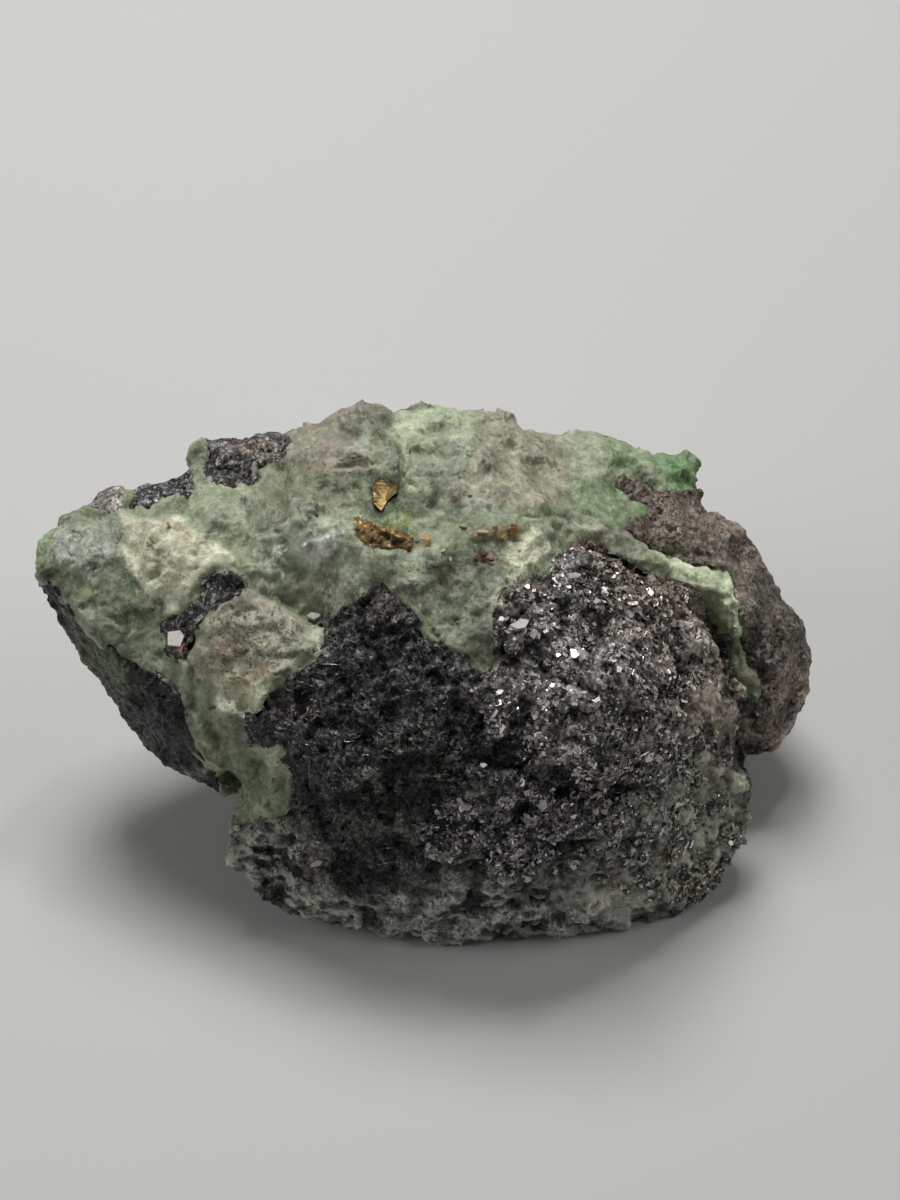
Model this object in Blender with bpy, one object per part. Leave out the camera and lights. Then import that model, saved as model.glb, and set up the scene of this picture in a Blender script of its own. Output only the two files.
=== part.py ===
"""A hand specimen of rough tsavorite garnet grown together with graphite schist.

The pale green garnet is one mass. Graphite sits in it as a large lump in front, a lump on the
right, a crust under the left wing, small knobs along the crest and a short seam, and a few pyrite
grains sit near the crest. The stone rests on a flat broken face, and its sloping display face
looks up and forward.
"""

import math

import bmesh
import bpy
import numpy as np
from mathutils import Vector, noise
from mathutils.kdtree import KDTree

MM = 0.001

# Driving dimensions, in millimetres and degrees
VIEW_TILT_DEG = 50.0
EYE = 157.0
FACE_HEIGHT = 24.0
CONTACT_GAP = 0.3
BLOCK_VOXEL = 0.75
STONE_TRIANGLES = 5200
ROUND_FACTOR = 0.5
ROUND_STEPS = 3
GARNET_CHIPS = ((7.5, 0.45, 11), (3.0, 0.16, 12))
GRAPHITE_LUMP = 6.0
GRAPHITE_LUMP_HEIGHT = 0.55
GRAPHITE_CHIPS = ((2.4, 0.14, 13),)
CHIP_TILT = 1.6
CHIP_LIMIT = 1.2
PLATE_EDGE = 0.45
NEAR = 14.0
OUTLINE_STEP = 2.4
OUTLINE_WANDER = 0.35
FAR_WANDER = 2.5
FAR_WANDER_SIZE = 7.0
SHARPEST_CORNER = 0.6

TILT_SIN = math.sin(math.radians(VIEW_TILT_DEG))
TILT_COS = math.cos(math.radians(VIEW_TILT_DEG))


def seen(across, up, out):
    """A point of the stone from where it shows on the display face.

    across and up are measured on the plane through the face's middle, as an eye EYE in front of it
    sees them, and out is the distance from that plane towards the eye.
    """
    shrink = 1 - out / EYE
    up = up * shrink
    return Vector((
        across * shrink,
        up * TILT_SIN - out * TILT_COS,
        FACE_HEIGHT + up * TILT_COS + out * TILT_SIN,
    ))


def place_on_face(points):
    """The reverse of seen for an array of points: across, up and out, one column each."""
    y = points[:, 1]
    z = points[:, 2] - FACE_HEIGHT
    up = y * TILT_SIN + z * TILT_COS
    out = z * TILT_SIN - y * TILT_COS
    shrink = 1 - out / EYE
    return np.stack([points[:, 0] / shrink, up / shrink, out], axis=1)


# The blocks that the stone's body is fused from. Each is the convex hull of its corners: the ones
# in SEEN are given as they show on the display face, the ones in HIDDEN in the stone's own frame.
WING_SEEN = (
    (-33.7, 4.0, -5.0),
    (-32.2, 6.4, -6.0),
    (-29.6, 7.4, -8.0),
    (-25.0, 8.2, -9.0),
    (-19.6, 10.4, -9.5),
    (-13.0, 12.4, -9.0),
    (-30.4, -0.2, -3.5),
    (-25.9, -4.3, -2.5),
    (-22.0, -9.0, -2.0),
    (-18.2, -13.9, -2.5),
    (-23.5, 3.1, -2.0),
    (-14.9, 3.1, 0.0),
    (-11.8, -3.1, 0.5),
    (-15.7, -7.8, 0.3),
    (-31.4, 0.2, -9.0),
    (-29.6, -3.6, -12.0),
    (-26.9, -7.8, -14.0),
    (-24.2, -11.6, -15.0),
    (-20.0, -13.6, -14.0),
    (-17.4, -15.4, -12.0),
)
WING_HIDDEN = ((-20, 12, 13), (-12, 18, 12), (-12, 4, 4))
CORE_SEEN = (
    (-13.0, 12.9, -9.0),
    (-6.7, 14.8, -7.5),
    (-0.8, 13.7, -7.5),
    (4.3, 12.9, -9.0),
    (8.6, 12.8, -12.0),
    (12.2, 13.0, -14.0),
    (17.4, 10.0, -17.0),
    (18.6, 7.2, -17.0),
    (-11.8, 6.3, -1.0),
    (-5.1, 6.3, 0.5),
    (0.0, 3.1, 1.0),
    (5.5, 0.0, 1.5),
    (-9.4, -3.1, 1.0),
    (11.8, 4.7, -3.0),
    (19.6, 0.0, -6.0),
)
CORE_HIDDEN = (
    (-18, 16, 14),
    (-8, 22, 16),
    (4, 24, 15),
    (14, 23, 12),
    (22, 18, 12),
    (-12, -8, -1),
    (-10, 10, -1),
    (0, 17, -1),
    (13, 15, -1),
    (20, 4, -1),
    (13, -11, -1),
    (0, -12, -1),
)
FRONT_SEEN = (
    (-15.7, -7.8, 0.5),
    (-9.4, -3.5, 1.3),
    (-5.5, 0.0, 1.6),
    (3.1, -6.0, 3.0),
    (3.9, -2.0, 2.0),
    (8.6, 2.0, 0.0),
    (12.0, 4.0, -2.5),
    (17.0, 1.5, -4.0),
    (21.4, -3.0, -6.0),
    (23.2, -8.0, -7.5),
    (24.5, -13.5, -9.5),
    (23.9, -17.2, -10.0),
    (22.7, -20.6, -10.0),
    (21.0, -23.0, -9.5),
    (17.8, -25.2, -9.0),
    (13.7, -26.4, -8.0),
    (3.9, -26.8, -7.0),
    (-7.2, -26.5, -7.0),
    (-14.7, -23.6, -7.0),
    (-17.6, -20.2, -6.0),
    (-17.6, -18.2, -5.0),
    (12.0, -6.0, 4.0),
    (10.0, -12.0, 4.0),
    (0.0, -14.0, 3.5),
    (-8.0, -14.0, 2.0),
    (14.0, -18.0, -1.0),
    (4.0, -20.0, 1.0),
    (-8.0, -21.0, -1.5),
)
FRONT_HIDDEN = ((-9, -11, -1), (13, -12, -1), (17, -4, -1), (-10, 0, -1))
RIGHT_SEEN = (
    (20.4, 7.6, -16.0),
    (22.6, 6.0, -15.5),
    (24.2, 4.2, -15.0),
    (25.7, 0.8, -15.0),
    (28.2, -1.8, -15.0),
    (28.8, -4.4, -15.0),
    (28.5, -7.1, -15.0),
    (26.8, -11.0, -15.0),
    (24.7, -13.2, -14.0),
    (15.5, 8.0, -11.0),
    (20.0, 3.5, -8.5),
    (23.5, -1.0, -8.5),
    (25.5, -5.0, -9.5),
    (24.0, -10.0, -9.5),
)
RIGHT_HIDDEN = ((26, 14, 9), (24, 9, 2), (19, 2, 1))

# Knobs: the middle as it shows on the face, and the radii across, up and out
KNOBS = (
    ((-26.6, 8.1, -9.5), (1.9, 1.2, 1.8)),
    ((-18.0, 11.2, -9.5), (2.4, 1.4, 2.4)),
    ((-14.2, 11.6, -9.5), (2.0, 1.4, 2.4)),
    ((-6.7, 13.8, -8.5), (2.6, 1.6, 2.6)),
    ((-0.5, 13.2, -8.5), (2.8, 1.6, 2.8)),
    ((4.2, 12.9, -10.0), (1.8, 1.4, 2.2)),
    ((16.4, 9.4, -16.0), (3.2, 2.2, 3.4)),
    ((-30.4, -0.7, -8.5), (1.0, 1.3, 1.6)),
)


def new_object(name, mesh):
    obj = bpy.data.objects.new(name, mesh)
    bpy.context.scene.collection.objects.link(obj)
    return obj


def hull_into(body, points):
    """Adds the convex hull of the points to the mesh being built."""
    corners = [body.verts.new(point) for point in points]
    made = bmesh.ops.convex_hull(body, input=corners)
    spare = {item for item in made["geom_interior"] if isinstance(item, bmesh.types.BMVert)}
    bmesh.ops.delete(body, geom=list(spare), context="VERTS")


def knob_into(body, middle, radii):
    """Adds a rounded knob whose radii run across, up and out of the display face."""
    made = bmesh.ops.create_icosphere(body, subdivisions=2, radius=1)
    for vert in made["verts"]:
        along = [way * radius for way, radius in zip(vert.co, radii)]
        vert.co = seen(*[at + step for at, step in zip(middle, along)])


def blocks():
    """The blocks and knobs as one mesh of overlapping closed shapes."""
    body = bmesh.new()
    for shown, hidden in (
        (WING_SEEN, WING_HIDDEN),
        (CORE_SEEN, CORE_HIDDEN),
        (FRONT_SEEN, FRONT_HIDDEN),
        (RIGHT_SEEN, RIGHT_HIDDEN),
    ):
        hull_into(body, [seen(*corner) for corner in shown] + [Vector(corner) for corner in hidden])
    for middle, radii in KNOBS:
        knob_into(body, middle, radii)
    mesh = bpy.data.meshes.new("blocks")
    body.to_mesh(mesh)
    body.free()
    return new_object("blocks", mesh)


def applied(obj):
    """Bakes the object's modifiers into its mesh."""
    graph = bpy.context.evaluated_depsgraph_get()
    mesh = bpy.data.meshes.new_from_object(obj.evaluated_get(graph))
    obj.modifiers.clear()
    obj.data = mesh
    return obj


def fused(obj):
    """Runs the overlapping blocks together into one skin and rounds the joins a little."""
    remesh = obj.modifiers.new("fuse", "REMESH")
    remesh.mode = "VOXEL"
    remesh.voxel_size = BLOCK_VOXEL
    smooth = obj.modifiers.new("round", "SMOOTH")
    smooth.factor = ROUND_FACTOR
    smooth.iterations = ROUND_STEPS
    return applied(obj)


# Relief

def vertex_array(mesh, what="co"):
    count = len(mesh.vertices)
    values = np.empty(count * 3)
    if what == "co":
        mesh.vertices.foreach_get("co", values)
    else:
        mesh.vertex_normals.foreach_get("vector", values)
    return values.reshape(count, 3)


def chipped(points, cell, depth, seed):
    """Flat chips of about one cell across, each tilted and set its own way, as garnet breaks.

    cell and depth are in millimetres, and each seed gives chips of its own.
    """
    draw = np.random.default_rng(seed)
    low = points.min(axis=0) - cell
    span = points.max(axis=0) + cell - low
    middles = low + span * draw.random((round(span.prod() / cell**3), 3))
    tilts = draw.normal(0, CHIP_TILT, middles.shape) / cell
    steps = draw.uniform(-1, 1, len(middles))
    tree = KDTree(len(middles))
    for i, middle in enumerate(middles):
        tree.insert(middle, i)
    tree.balance()
    nearest = np.array([tree.find(point)[1] for point in points])
    lean = ((points - middles[nearest]) * tilts[nearest]).sum(axis=1)
    return depth * np.clip(lean + steps[nearest], -CHIP_LIMIT, CHIP_LIMIT)


def lumpy(points, cell, depth):
    """Rounded swellings, as a granular schist weathers."""
    return depth * np.array([noise.fractal(Vector(point) / cell, 1.0, 2.0, 3) for point in points])


def garnet_relief(points):
    return sum(chipped(points, *chips) for chips in GARNET_CHIPS)


def graphite_relief(points):
    lumps = lumpy(points, GRAPHITE_LUMP, GRAPHITE_LUMP_HEIGHT)
    return lumps + sum(chipped(points, *chips) for chips in GRAPHITE_CHIPS)


# Grooves: the line as it shows on the face, its half width, and its depth
GROOVES = (
    (((9.4, 5.6), (13.4, 4.0), (17.0, 1.8), (19.9, -0.4), (22.2, -3.2), (23.4, -7.4),
      (24.0, -12.6)), 0.9, 0.8),
    (((4.2, -5.6), (4.8, -9.0), (6.4, -12.2), (9.6, -14.6), (13.6, -15.2), (16.0, -14.4)), 1.8, 0.8),
    (((13.2, 9.4), (15.6, 7.2), (16.4, 4.8), (19.4, 3.0), (22.4, 1.4), (23.2, -2.4),
      (24.6, -7.0)), 0.8, 0.7),
    (((-4.7, 12.6), (-4.9, 11.2), (-4.6, 9.7)), 0.6, 1.1),
    (((-16.4, 8.2), (-15.8, 6.2), (-16.8, 4.6), (-18.4, 5.2)), 0.5, 0.5),
    (((-15.6, 0.8), (-13.2, 0.4), (-11.0, -0.8), (-9.8, -1.9)), 0.6, 0.5),
    (((-25.8, 6.9), (-23.6, 7.2), (-21.0, 6.2), (-18.6, 5.2)), 0.6, 0.4),
    (((-8.4, 7.6), (-9.6, 6.6), (-12.4, 6.4)), 0.6, 0.4),
    (((-15.8, -11.4), (-14.4, -13.2), (-12.6, -15.2)), 0.6, 0.4),
    (((-1.2, 7.6), (1.4, 6.6), (4.6, 6.6)), 0.6, 0.4),
)
# Plates of garnet that stand out or lie back: the outline as it shows on the face, and the rise
PLATES = (
    (((-4.4, 9.9), (-4.5, 12.3), (-3.4, 14.2), (-1.0, 16.4), (5.4, 16.4), (5.0, 12.2), (2.2, 9.2),
      (-1.3, 7.8), (-3.0, 8.8)), 0.8),
    (((-19.6, -1.2), (-17.0, 0.2), (-14.0, 0.0), (-11.0, -1.6), (-9.8, -3.0), (-11.4, -5.0),
      (-13.0, -6.6), (-16.0, -6.8), (-19.5, -5.5), (-20.3, -3.4)), 0.8),
    (((-20.2, 9.4), (-17.4, 8.6), (-16.2, 7.6), (-16.2, 5.6), (-18.5, 5.2), (-20.6, 6.4)), 0.5),
    (((-15.6, 6.0), (-13.0, 8.0), (-9.5, 7.6), (-8.0, 5.0), (-9.4, 3.0), (-14.8, 2.6)), 0.35),
    (((-9.0, 10.4), (-4.8, 9.8), (-4.6, 6.4), (-7.6, 6.6), (-10.0, 8.0)), -0.5),
    (((-12.8, 13.6), (-8.0, 16.4), (-5.0, 15.6), (-4.8, 12.2), (-6.0, 10.6), (-9.4, 10.2),
      (-12.6, 10.8)), 0.35),
    (((1.8, 5.7), (3.6, 5.9), (5.3, 6.0), (5.1, 4.7), (3.5, 5.0)), 0.35),
    (((13.6, 9.8), (16.4, 8.4), (19.8, 8.2), (21.0, 10.0), (18.0, 13.0), (12.4, 14.0)), 0.5),
    (((9.6, 8.6), (11.2, 7.4), (13.4, 6.0), (16.0, 4.6), (19.4, 3.2), (21.4, 2.6), (22.8, 0.4),
      (23.0, -2.2), (21.4, -2.8), (20.0, -1.6), (19.8, 0.2), (17.2, 1.5), (15.8, 2.8), (13.2, 4.4),
      (10.4, 6.2)), 0.5),
    (((-26.2, 5.6), (-24.0, 2.0), (-22.4, -2.0), (-20.8, -6.0), (-18.6, -9.6), (-17.6, -13.0),
      (-21.5, -9.6), (-26.0, -4.4), (-31.0, 0.8), (-33.6, 4.0), (-31.0, 7.4)), -0.3),
)

# The wing's broad facet, where the chips are this share as deep
CALM_OUTLINE = (
    (-34.0, 4.0), (-31.0, 7.4), (-26.4, 6.0), (-24.2, 2.2), (-22.4, -2.0), (-20.6, -6.4),
    (-17.6, -13.0), (-21.5, -9.6), (-26.0, -4.4), (-31.0, 0.8),
)
CALM_SHARE = 0.4


def distance_to_line(across, up, line):
    """How far each point on the face lies from a line of several straight runs."""
    nearest = np.full(len(across), np.inf)
    for (x0, y0), (x1, y1) in zip(line, line[1:]):
        run = np.array((x1 - x0, y1 - y0))
        share = ((across - x0) * run[0] + (up - y0) * run[1]) / (run @ run)
        share = np.clip(share, 0, 1)
        gap = np.hypot(across - x0 - share * run[0], up - y0 - share * run[1])
        nearest = np.minimum(nearest, gap)
    return nearest


def groove_depth(face):
    """How deep the grooves are at each vertex of the stone's front."""
    depth = np.zeros(len(face))
    for line, half_width, deepest in GROOVES:
        share = distance_to_line(face[:, 0], face[:, 1], line) / half_width
        depth = np.maximum(depth, deepest * np.exp(-share**2))
    return depth


def inside(across, up, outline):
    """True where a point on the face lies inside the closed outline."""
    found = np.zeros(len(across), bool)
    for (x0, y0), (x1, y1) in zip(outline, outline[1:] + outline[:1]):
        if y0 == y1:
            continue
        crossing = (up > y0) != (up > y1)
        at = x0 + (up - y0) * (x1 - x0) / (y1 - y0)
        found ^= crossing & (across < at)
    return found


def plate_rise(face):
    """How far the plates stand out at each vertex of the stone's front."""
    rise = np.zeros(len(face))
    for outline, height in PLATES:
        edge = distance_to_line(face[:, 0], face[:, 1], outline + outline[:1])
        edge = np.where(inside(face[:, 0], face[:, 1], outline), edge, -edge)
        share = np.clip(0.5 + edge / (2 * PLATE_EDGE), 0, 1)
        rise += height * share
    return rise


def weathered(obj):
    """Gives the stone its chips, lumps, plates and grooves."""
    mesh = obj.data
    points = vertex_array(mesh)
    normals = vertex_array(mesh, "normal")
    face = place_on_face(points)
    dark = np.zeros(len(points), bool)
    for _, outline, far in GRAPHITE:
        dark |= inside(face[:, 0], face[:, 1], outline) & (face[:, 2] > far)
    rise = np.where(dark, graphite_relief(points), garnet_relief(points))
    rise[inside(face[:, 0], face[:, 1], CALM_OUTLINE)] *= CALM_SHARE
    shows = normals @ np.array((0, -TILT_COS, TILT_SIN)) > 0
    rise += np.where(shows, plate_rise(face) - groove_depth(face), 0)
    points += normals * rise[:, None]
    mesh.vertices.foreach_set("co", points.ravel())
    mesh.update()
    return obj


def thinned(obj):
    """Brings the skin down to a modest number of flat faces."""
    mesh = obj.data
    mesh.calc_loop_triangles()
    decimate = obj.modifiers.new("facets", "DECIMATE")
    decimate.ratio = STONE_TRIANGLES / len(mesh.loop_triangles)
    return applied(obj)


def broken_flat(obj):
    """Cuts the stone off level where it rests."""
    body = bmesh.new()
    body.from_mesh(obj.data)
    cut = bmesh.ops.bisect_plane(
        body,
        geom=body.verts[:] + body.edges[:] + body.faces[:],
        plane_co=(0, 0, 0),
        plane_no=(0, 0, -1),
        clear_outer=True,
    )
    rim = [item for item in cut["geom_cut"] if isinstance(item, bmesh.types.BMEdge)]
    bmesh.ops.holes_fill(body, edges=rim)
    bmesh.ops.triangulate(body, faces=body.faces[:])
    body.to_mesh(obj.data)
    body.free()
    return obj


# Mineral bodies: the name, the outline as it shows on the face, and how far in it reaches
FRONT_OUTLINE = (
    (-15.6, -17.9), (-14.8, -17.0), (-13.8, -17.0), (-12.8, -16.4), (-12.2, -15.0), (-12.6, -13.6),
    (-13.8, -12.8), (-12.7, -12.2), (-13.0, -11.5), (-14.6, -11.4), (-15.7, -11.4), (-15.8, -9.9),
    (-15.8, -8.9), (-14.8, -8.4), (-14.7, -7.6), (-13.0, -7.0), (-12.5, -6.2), (-11.4, -5.7),
    (-10.2, -4.9), (-9.8, -3.8), (-9.5, -2.8), (-10.2, -2.0), (-8.9, -1.4), (-8.2, -0.4),
    (-7.2, 0.2), (-6.2, 0.9), (-5.2, 1.2), (-4.2, 0.4), (-3.2, -0.6), (-2.2, -1.9), (-1.6, -3.0),
    (0.2, -3.8), (1.0, -4.6), (1.7, -5.3), (2.8, -5.7), (3.6, -5.0), (3.7, -2.9), (3.6, -1.2),
    (3.8, 0.2), (5.6, 1.4), (7.0, 1.9), (8.2, 2.4), (8.8, 3.6), (9.4, 4.6), (10.6, 4.9),
    (12.6, 3.9), (14.0, 3.2), (15.4, 2.6), (17.4, 1.2), (19.2, 0.7), (19.9, -0.4), (19.9, -1.5),
    (21.0, -2.8), (22.0, -2.9), (22.1, -4.0), (22.4, -5.4), (23.2, -6.9), (24.1, -8.2),
    (24.0, -9.6), (24.2, -11.2), (24.0, -12.6), (24.6, -13.6), (34.0, -14.6), (34.0, -36.0),
    (-30.0, -36.0), (-24.0, -20.0), (-17.6, -17.9),
)
RIGHT_OUTLINE = (
    (13.4, 9.9), (13.0, 9.0), (14.0, 8.0), (15.4, 7.6), (15.6, 6.6), (13.8, 5.7), (15.8, 4.4),
    (17.2, 4.2), (18.4, 3.4), (19.4, 2.7), (20.2, 3.1), (21.8, 2.2), (22.3, 1.0), (22.8, -0.4),
    (22.9, -2.4), (22.7, -3.6), (23.2, -4.8), (24.1, -6.0), (24.4, -7.2), (24.1, -8.2),
    (24.0, -9.6), (24.2, -11.2), (24.0, -12.6), (24.6, -13.6), (34.0, -14.6), (36.0, 4.0),
    (26.0, 9.0), (21.0, 8.6), (18.0, 8.4), (16.4, 8.4), (15.2, 9.1),
)
FLANK_OUTLINE = (
    (-31.2, 1.1), (-30.6, 0.1), (-29.8, -1.1), (-28.7, -2.4), (-27.6, -3.2), (-26.4, -4.0),
    (-25.0, -5.0), (-23.6, -5.8), (-22.3, -6.7), (-21.2, -7.8), (-20.6, -9.4), (-20.1, -11.0),
    (-19.8, -12.2), (-19.0, -13.2), (-17.9, -13.8), (-18.4, -17.0), (-30.0, -17.0), (-37.0, -2.0),
    (-33.4, 0.9),
)
LEFT_KNOB_OUTLINE = (
    (-28.9, 7.5), (-27.6, 7.0), (-26.6, 6.8), (-26.0, 7.3), (-25.6, 8.0), (-26.0, 10.0),
    (-29.0, 10.0),
)
RIDGE_KNOB_OUTLINE = (
    (-25.2, 7.2), (-24.4, 7.5), (-23.7, 7.1), (-22.9, 7.7), (-21.6, 8.2), (-20.6, 8.1),
    (-20.3, 9.6), (-21.0, 11.0), (-24.0, 10.4), (-24.6, 8.2),
)
CREST_OUTLINE = (
    (-19.6, 10.2), (-18.4, 9.5), (-17.4, 8.9), (-16.6, 9.3), (-15.8, 9.0), (-15.3, 9.7),
    (-15.3, 10.6), (-14.2, 11.1), (-12.9, 10.9), (-12.6, 12.0), (-12.9, 14.4), (-19.4, 14.4),
    (-18.9, 11.4),
)
SEAM_OUTLINE = (
    (-17.9, 2.5), (-16.4, 2.0), (-15.7, 1.0), (-17.0, 0.2), (-18.8, -0.8), (-20.2, -2.2),
    (-20.5, -3.8), (-21.3, -4.8), (-22.2, -4.0), (-22.4, -2.0), (-20.8, -1.0), (-19.7, 0.2),
    (-19.1, 1.7),
)
GRAPHITE = (
    ("graphite_front", FRONT_OUTLINE, -17.0),
    ("graphite_right", RIGHT_OUTLINE, -26.0),
    ("graphite_flank", FLANK_OUTLINE, -24.0),
    ("graphite_knob_left", LEFT_KNOB_OUTLINE, -14.0),
    ("graphite_knob_ridge", RIDGE_KNOB_OUTLINE, -14.0),
    ("graphite_crest", CREST_OUTLINE, -15.0),
    ("graphite_seam", SEAM_OUTLINE, -4.0),
)
PYRITE = (
    ("pyrite_wedge", (
        (-6.3, 9.4), (-5.0, 9.6), (-4.1, 9.4), (-4.1, 8.5), (-4.7, 7.6), (-5.4, 6.6), (-6.0, 7.6),
    ), -3.0),
    ("pyrite_grain", (
        (-7.6, 6.4), (-6.2, 6.0), (-5.0, 5.4), (-3.9, 5.0), (-3.2, 4.6), (-3.4, 4.0), (-5.4, 4.2),
        (-6.3, 4.1), (-7.1, 4.9),
    ), -3.0),
)


def ragged(outline):
    """The outline with its straight runs broken into short ones that wander a little."""
    rim = []
    for (x0, y0), (x1, y1) in zip(outline, outline[1:] + outline[:1]):
        pieces = max(1, round(math.hypot(x1 - x0, y1 - y0) / OUTLINE_STEP))
        for piece in range(pieces):
            share = piece / pieces
            x = x0 + share * (x1 - x0)
            y = y0 + share * (y1 - y0)
            drift_x = noise.noise(Vector((x, y, 0)))
            drift_y = noise.noise(Vector((y, x, 0)))
            rim.append((x + OUTLINE_WANDER * drift_x, y + OUTLINE_WANDER * drift_y))
    return rim


def widened(rim, by):
    """The closed outline moved outwards by a distance, or inwards where it is negative."""
    area = sum(x0 * y1 - x1 * y0 for (x0, y0), (x1, y1) in zip(rim, rim[1:] + rim[:1]))
    side = by if area > 0 else -by
    moved = []
    for before, here, after in zip(rim[-1:] + rim[:-1], rim, rim[1:] + rim[:1]):
        ways = []
        for a, b in ((before, here), (here, after)):
            length = math.hypot(b[0] - a[0], b[1] - a[1])
            ways.append(((b[1] - a[1]) / length, (a[0] - b[0]) / length))
        x = ways[0][0] + ways[1][0]
        y = ways[0][1] + ways[1][1]
        spread = max(SHARPEST_CORNER, (x * x + y * y) / 2)
        moved.append((here[0] + side * x / spread, here[1] + side * y / spread))
    return moved


def far_wall(x, y, far):
    """Where a mineral body ends behind a place on its outline: not quite a plane."""
    return far + FAR_WANDER * noise.noise(Vector((x, y, far)) / FAR_WANDER_SIZE)


def cutter(name, outline, far, grow):
    """The space that a mineral body takes: its outline run in along the line of sight."""
    plain = ragged(outline)
    rim = widened(plain, grow)
    ends = [far_wall(x, y, far) - grow for x, y in plain]
    body = bmesh.new()
    near_ring = [body.verts.new(seen(x, y, NEAR)) for x, y in rim]
    far_ring = [body.verts.new(seen(x, y, end)) for (x, y), end in zip(rim, ends)]
    body.faces.new(near_ring)
    body.faces.new(far_ring[::-1])
    for i in range(len(rim)):
        j = (i + 1) % len(rim)
        body.faces.new((near_ring[j], near_ring[i], far_ring[i], far_ring[j]))
    bmesh.ops.triangulate(body, faces=body.faces[:])
    bmesh.ops.recalc_face_normals(body, faces=body.faces[:])
    mesh = bpy.data.meshes.new(name)
    body.to_mesh(mesh)
    body.free()
    return new_object(name, mesh)


def largest_piece(obj):
    """Drops the crumbs that a cut leaves beside the main piece."""
    body = bmesh.new()
    body.from_mesh(obj.data)
    left = set(body.verts)
    pieces = []
    while left:
        reached = [left.pop()]
        piece = set(reached)
        while reached:
            for edge in reached.pop().link_edges:
                for vert in edge.verts:
                    if vert in left:
                        left.remove(vert)
                        piece.add(vert)
                        reached.append(vert)
        pieces.append(piece)
    main_piece = max(pieces, key=len)
    spare = [vert for vert in body.verts if vert not in main_piece]
    bmesh.ops.delete(body, geom=spare, context="VERTS")
    body.to_mesh(obj.data)
    body.free()
    return obj


def cut_by(obj, tool, operation):
    boolean = obj.modifiers.new(operation.lower(), "BOOLEAN")
    boolean.operation = operation
    boolean.solver = "MANIFOLD"
    boolean.object = tool
    applied(obj)
    bpy.data.objects.remove(tool)
    return obj


def mineral(name, stone, outline, far):
    """One mineral body: what of the stone lies in its space."""
    obj = new_object(name, stone.data.copy())
    space = cutter("space", outline, far, -CONTACT_GAP / 2)
    return largest_piece(cut_by(obj, space, "INTERSECT"))


def garnet(stone):
    """The green mass: the stone less the room that the other minerals take."""
    obj = new_object("tsavorite", stone.data.copy())
    for _, outline, far in GRAPHITE + PYRITE:
        space = cutter("space", outline, far, CONTACT_GAP / 2)
        cut_by(obj, space, "DIFFERENCE")
    return largest_piece(obj)


# Finishes: colour, roughness and metallic value
FINISHES = {
    "tsavorite": ((0.30, 0.42, 0.26), 0.45, 0.0),
    "graphite": ((0.06, 0.055, 0.06), 0.40, 0.6),
    "pyrite": ((0.42, 0.27, 0.09), 0.35, 0.9),
}


def finish(obj):
    """Gives the object a material of its own, from the mineral that its name starts with."""
    colour, roughness, metallic = FINISHES[obj.name.split("_")[0]]
    material = bpy.data.materials.new(obj.name)
    material.use_nodes = True
    shader = material.node_tree.nodes["Principled BSDF"]
    shader.inputs["Base Color"].default_value = (*colour, 1)
    shader.inputs["Roughness"].default_value = roughness
    shader.inputs["Metallic"].default_value = metallic
    obj.data.materials.clear()
    obj.data.materials.append(material)


def centred(pieces):
    """Puts the middle of the whole stone's footprint over the origin, and scales to metres."""
    corners = np.vstack([vertex_array(obj.data) for obj in pieces])
    middle = (corners.min(axis=0) + corners.max(axis=0)) / 2
    middle[2] = 0
    for obj in pieces:
        points = (vertex_array(obj.data) - middle) * MM
        obj.data.vertices.foreach_set("co", points.ravel())
        obj.data.update()
    return middle


def main():
    for obj in list(bpy.data.objects):
        bpy.data.objects.remove(obj)
    stone = broken_flat(thinned(weathered(fused(blocks()))))
    pieces = [mineral(name, stone, outline, far) for name, outline, far in GRAPHITE + PYRITE]
    pieces.append(garnet(stone))
    bpy.data.objects.remove(stone)
    middle = centred(pieces)
    for obj in pieces:
        finish(obj)
    return middle


main()
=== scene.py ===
"""Rough tsavorite garnet grown together with graphite: the skins, flakes and light around the solids.

Every mineral body keeps its place and size. Its skin is a fine mesh made from its solid, with chips,
grains and flakes raised on it and its colours painted from places on the display face.
"""

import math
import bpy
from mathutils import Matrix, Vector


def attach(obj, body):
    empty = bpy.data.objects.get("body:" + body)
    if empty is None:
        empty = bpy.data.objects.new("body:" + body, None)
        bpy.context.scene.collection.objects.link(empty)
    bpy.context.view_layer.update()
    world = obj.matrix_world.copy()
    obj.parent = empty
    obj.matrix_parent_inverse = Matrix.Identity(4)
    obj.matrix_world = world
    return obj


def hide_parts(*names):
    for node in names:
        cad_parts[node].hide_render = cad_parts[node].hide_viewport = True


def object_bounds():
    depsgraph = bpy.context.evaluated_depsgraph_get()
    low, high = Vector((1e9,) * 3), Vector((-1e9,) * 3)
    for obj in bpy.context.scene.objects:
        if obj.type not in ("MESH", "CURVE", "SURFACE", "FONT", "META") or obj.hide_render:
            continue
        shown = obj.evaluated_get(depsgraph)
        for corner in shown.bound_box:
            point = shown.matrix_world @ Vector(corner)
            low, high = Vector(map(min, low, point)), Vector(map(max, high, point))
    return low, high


bl_info = {
    "name": "Rough Tsavorite",
    "version": (1, 0, 0),
    "blender": (4, 5, 0),
    "location": "View3D > Sidebar > Tsavorite",
    "description": "Skins, flakes, stage and light of a rough tsavorite with graphite",
    "category": "Object",
}

from dataclasses import dataclass
from itertools import product

import bmesh
import bpy
import numpy as np
from bpy.props import FloatProperty, FloatVectorProperty, IntProperty, PointerProperty
from mathutils import Vector
from mathutils.bvhtree import BVHTree

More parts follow.
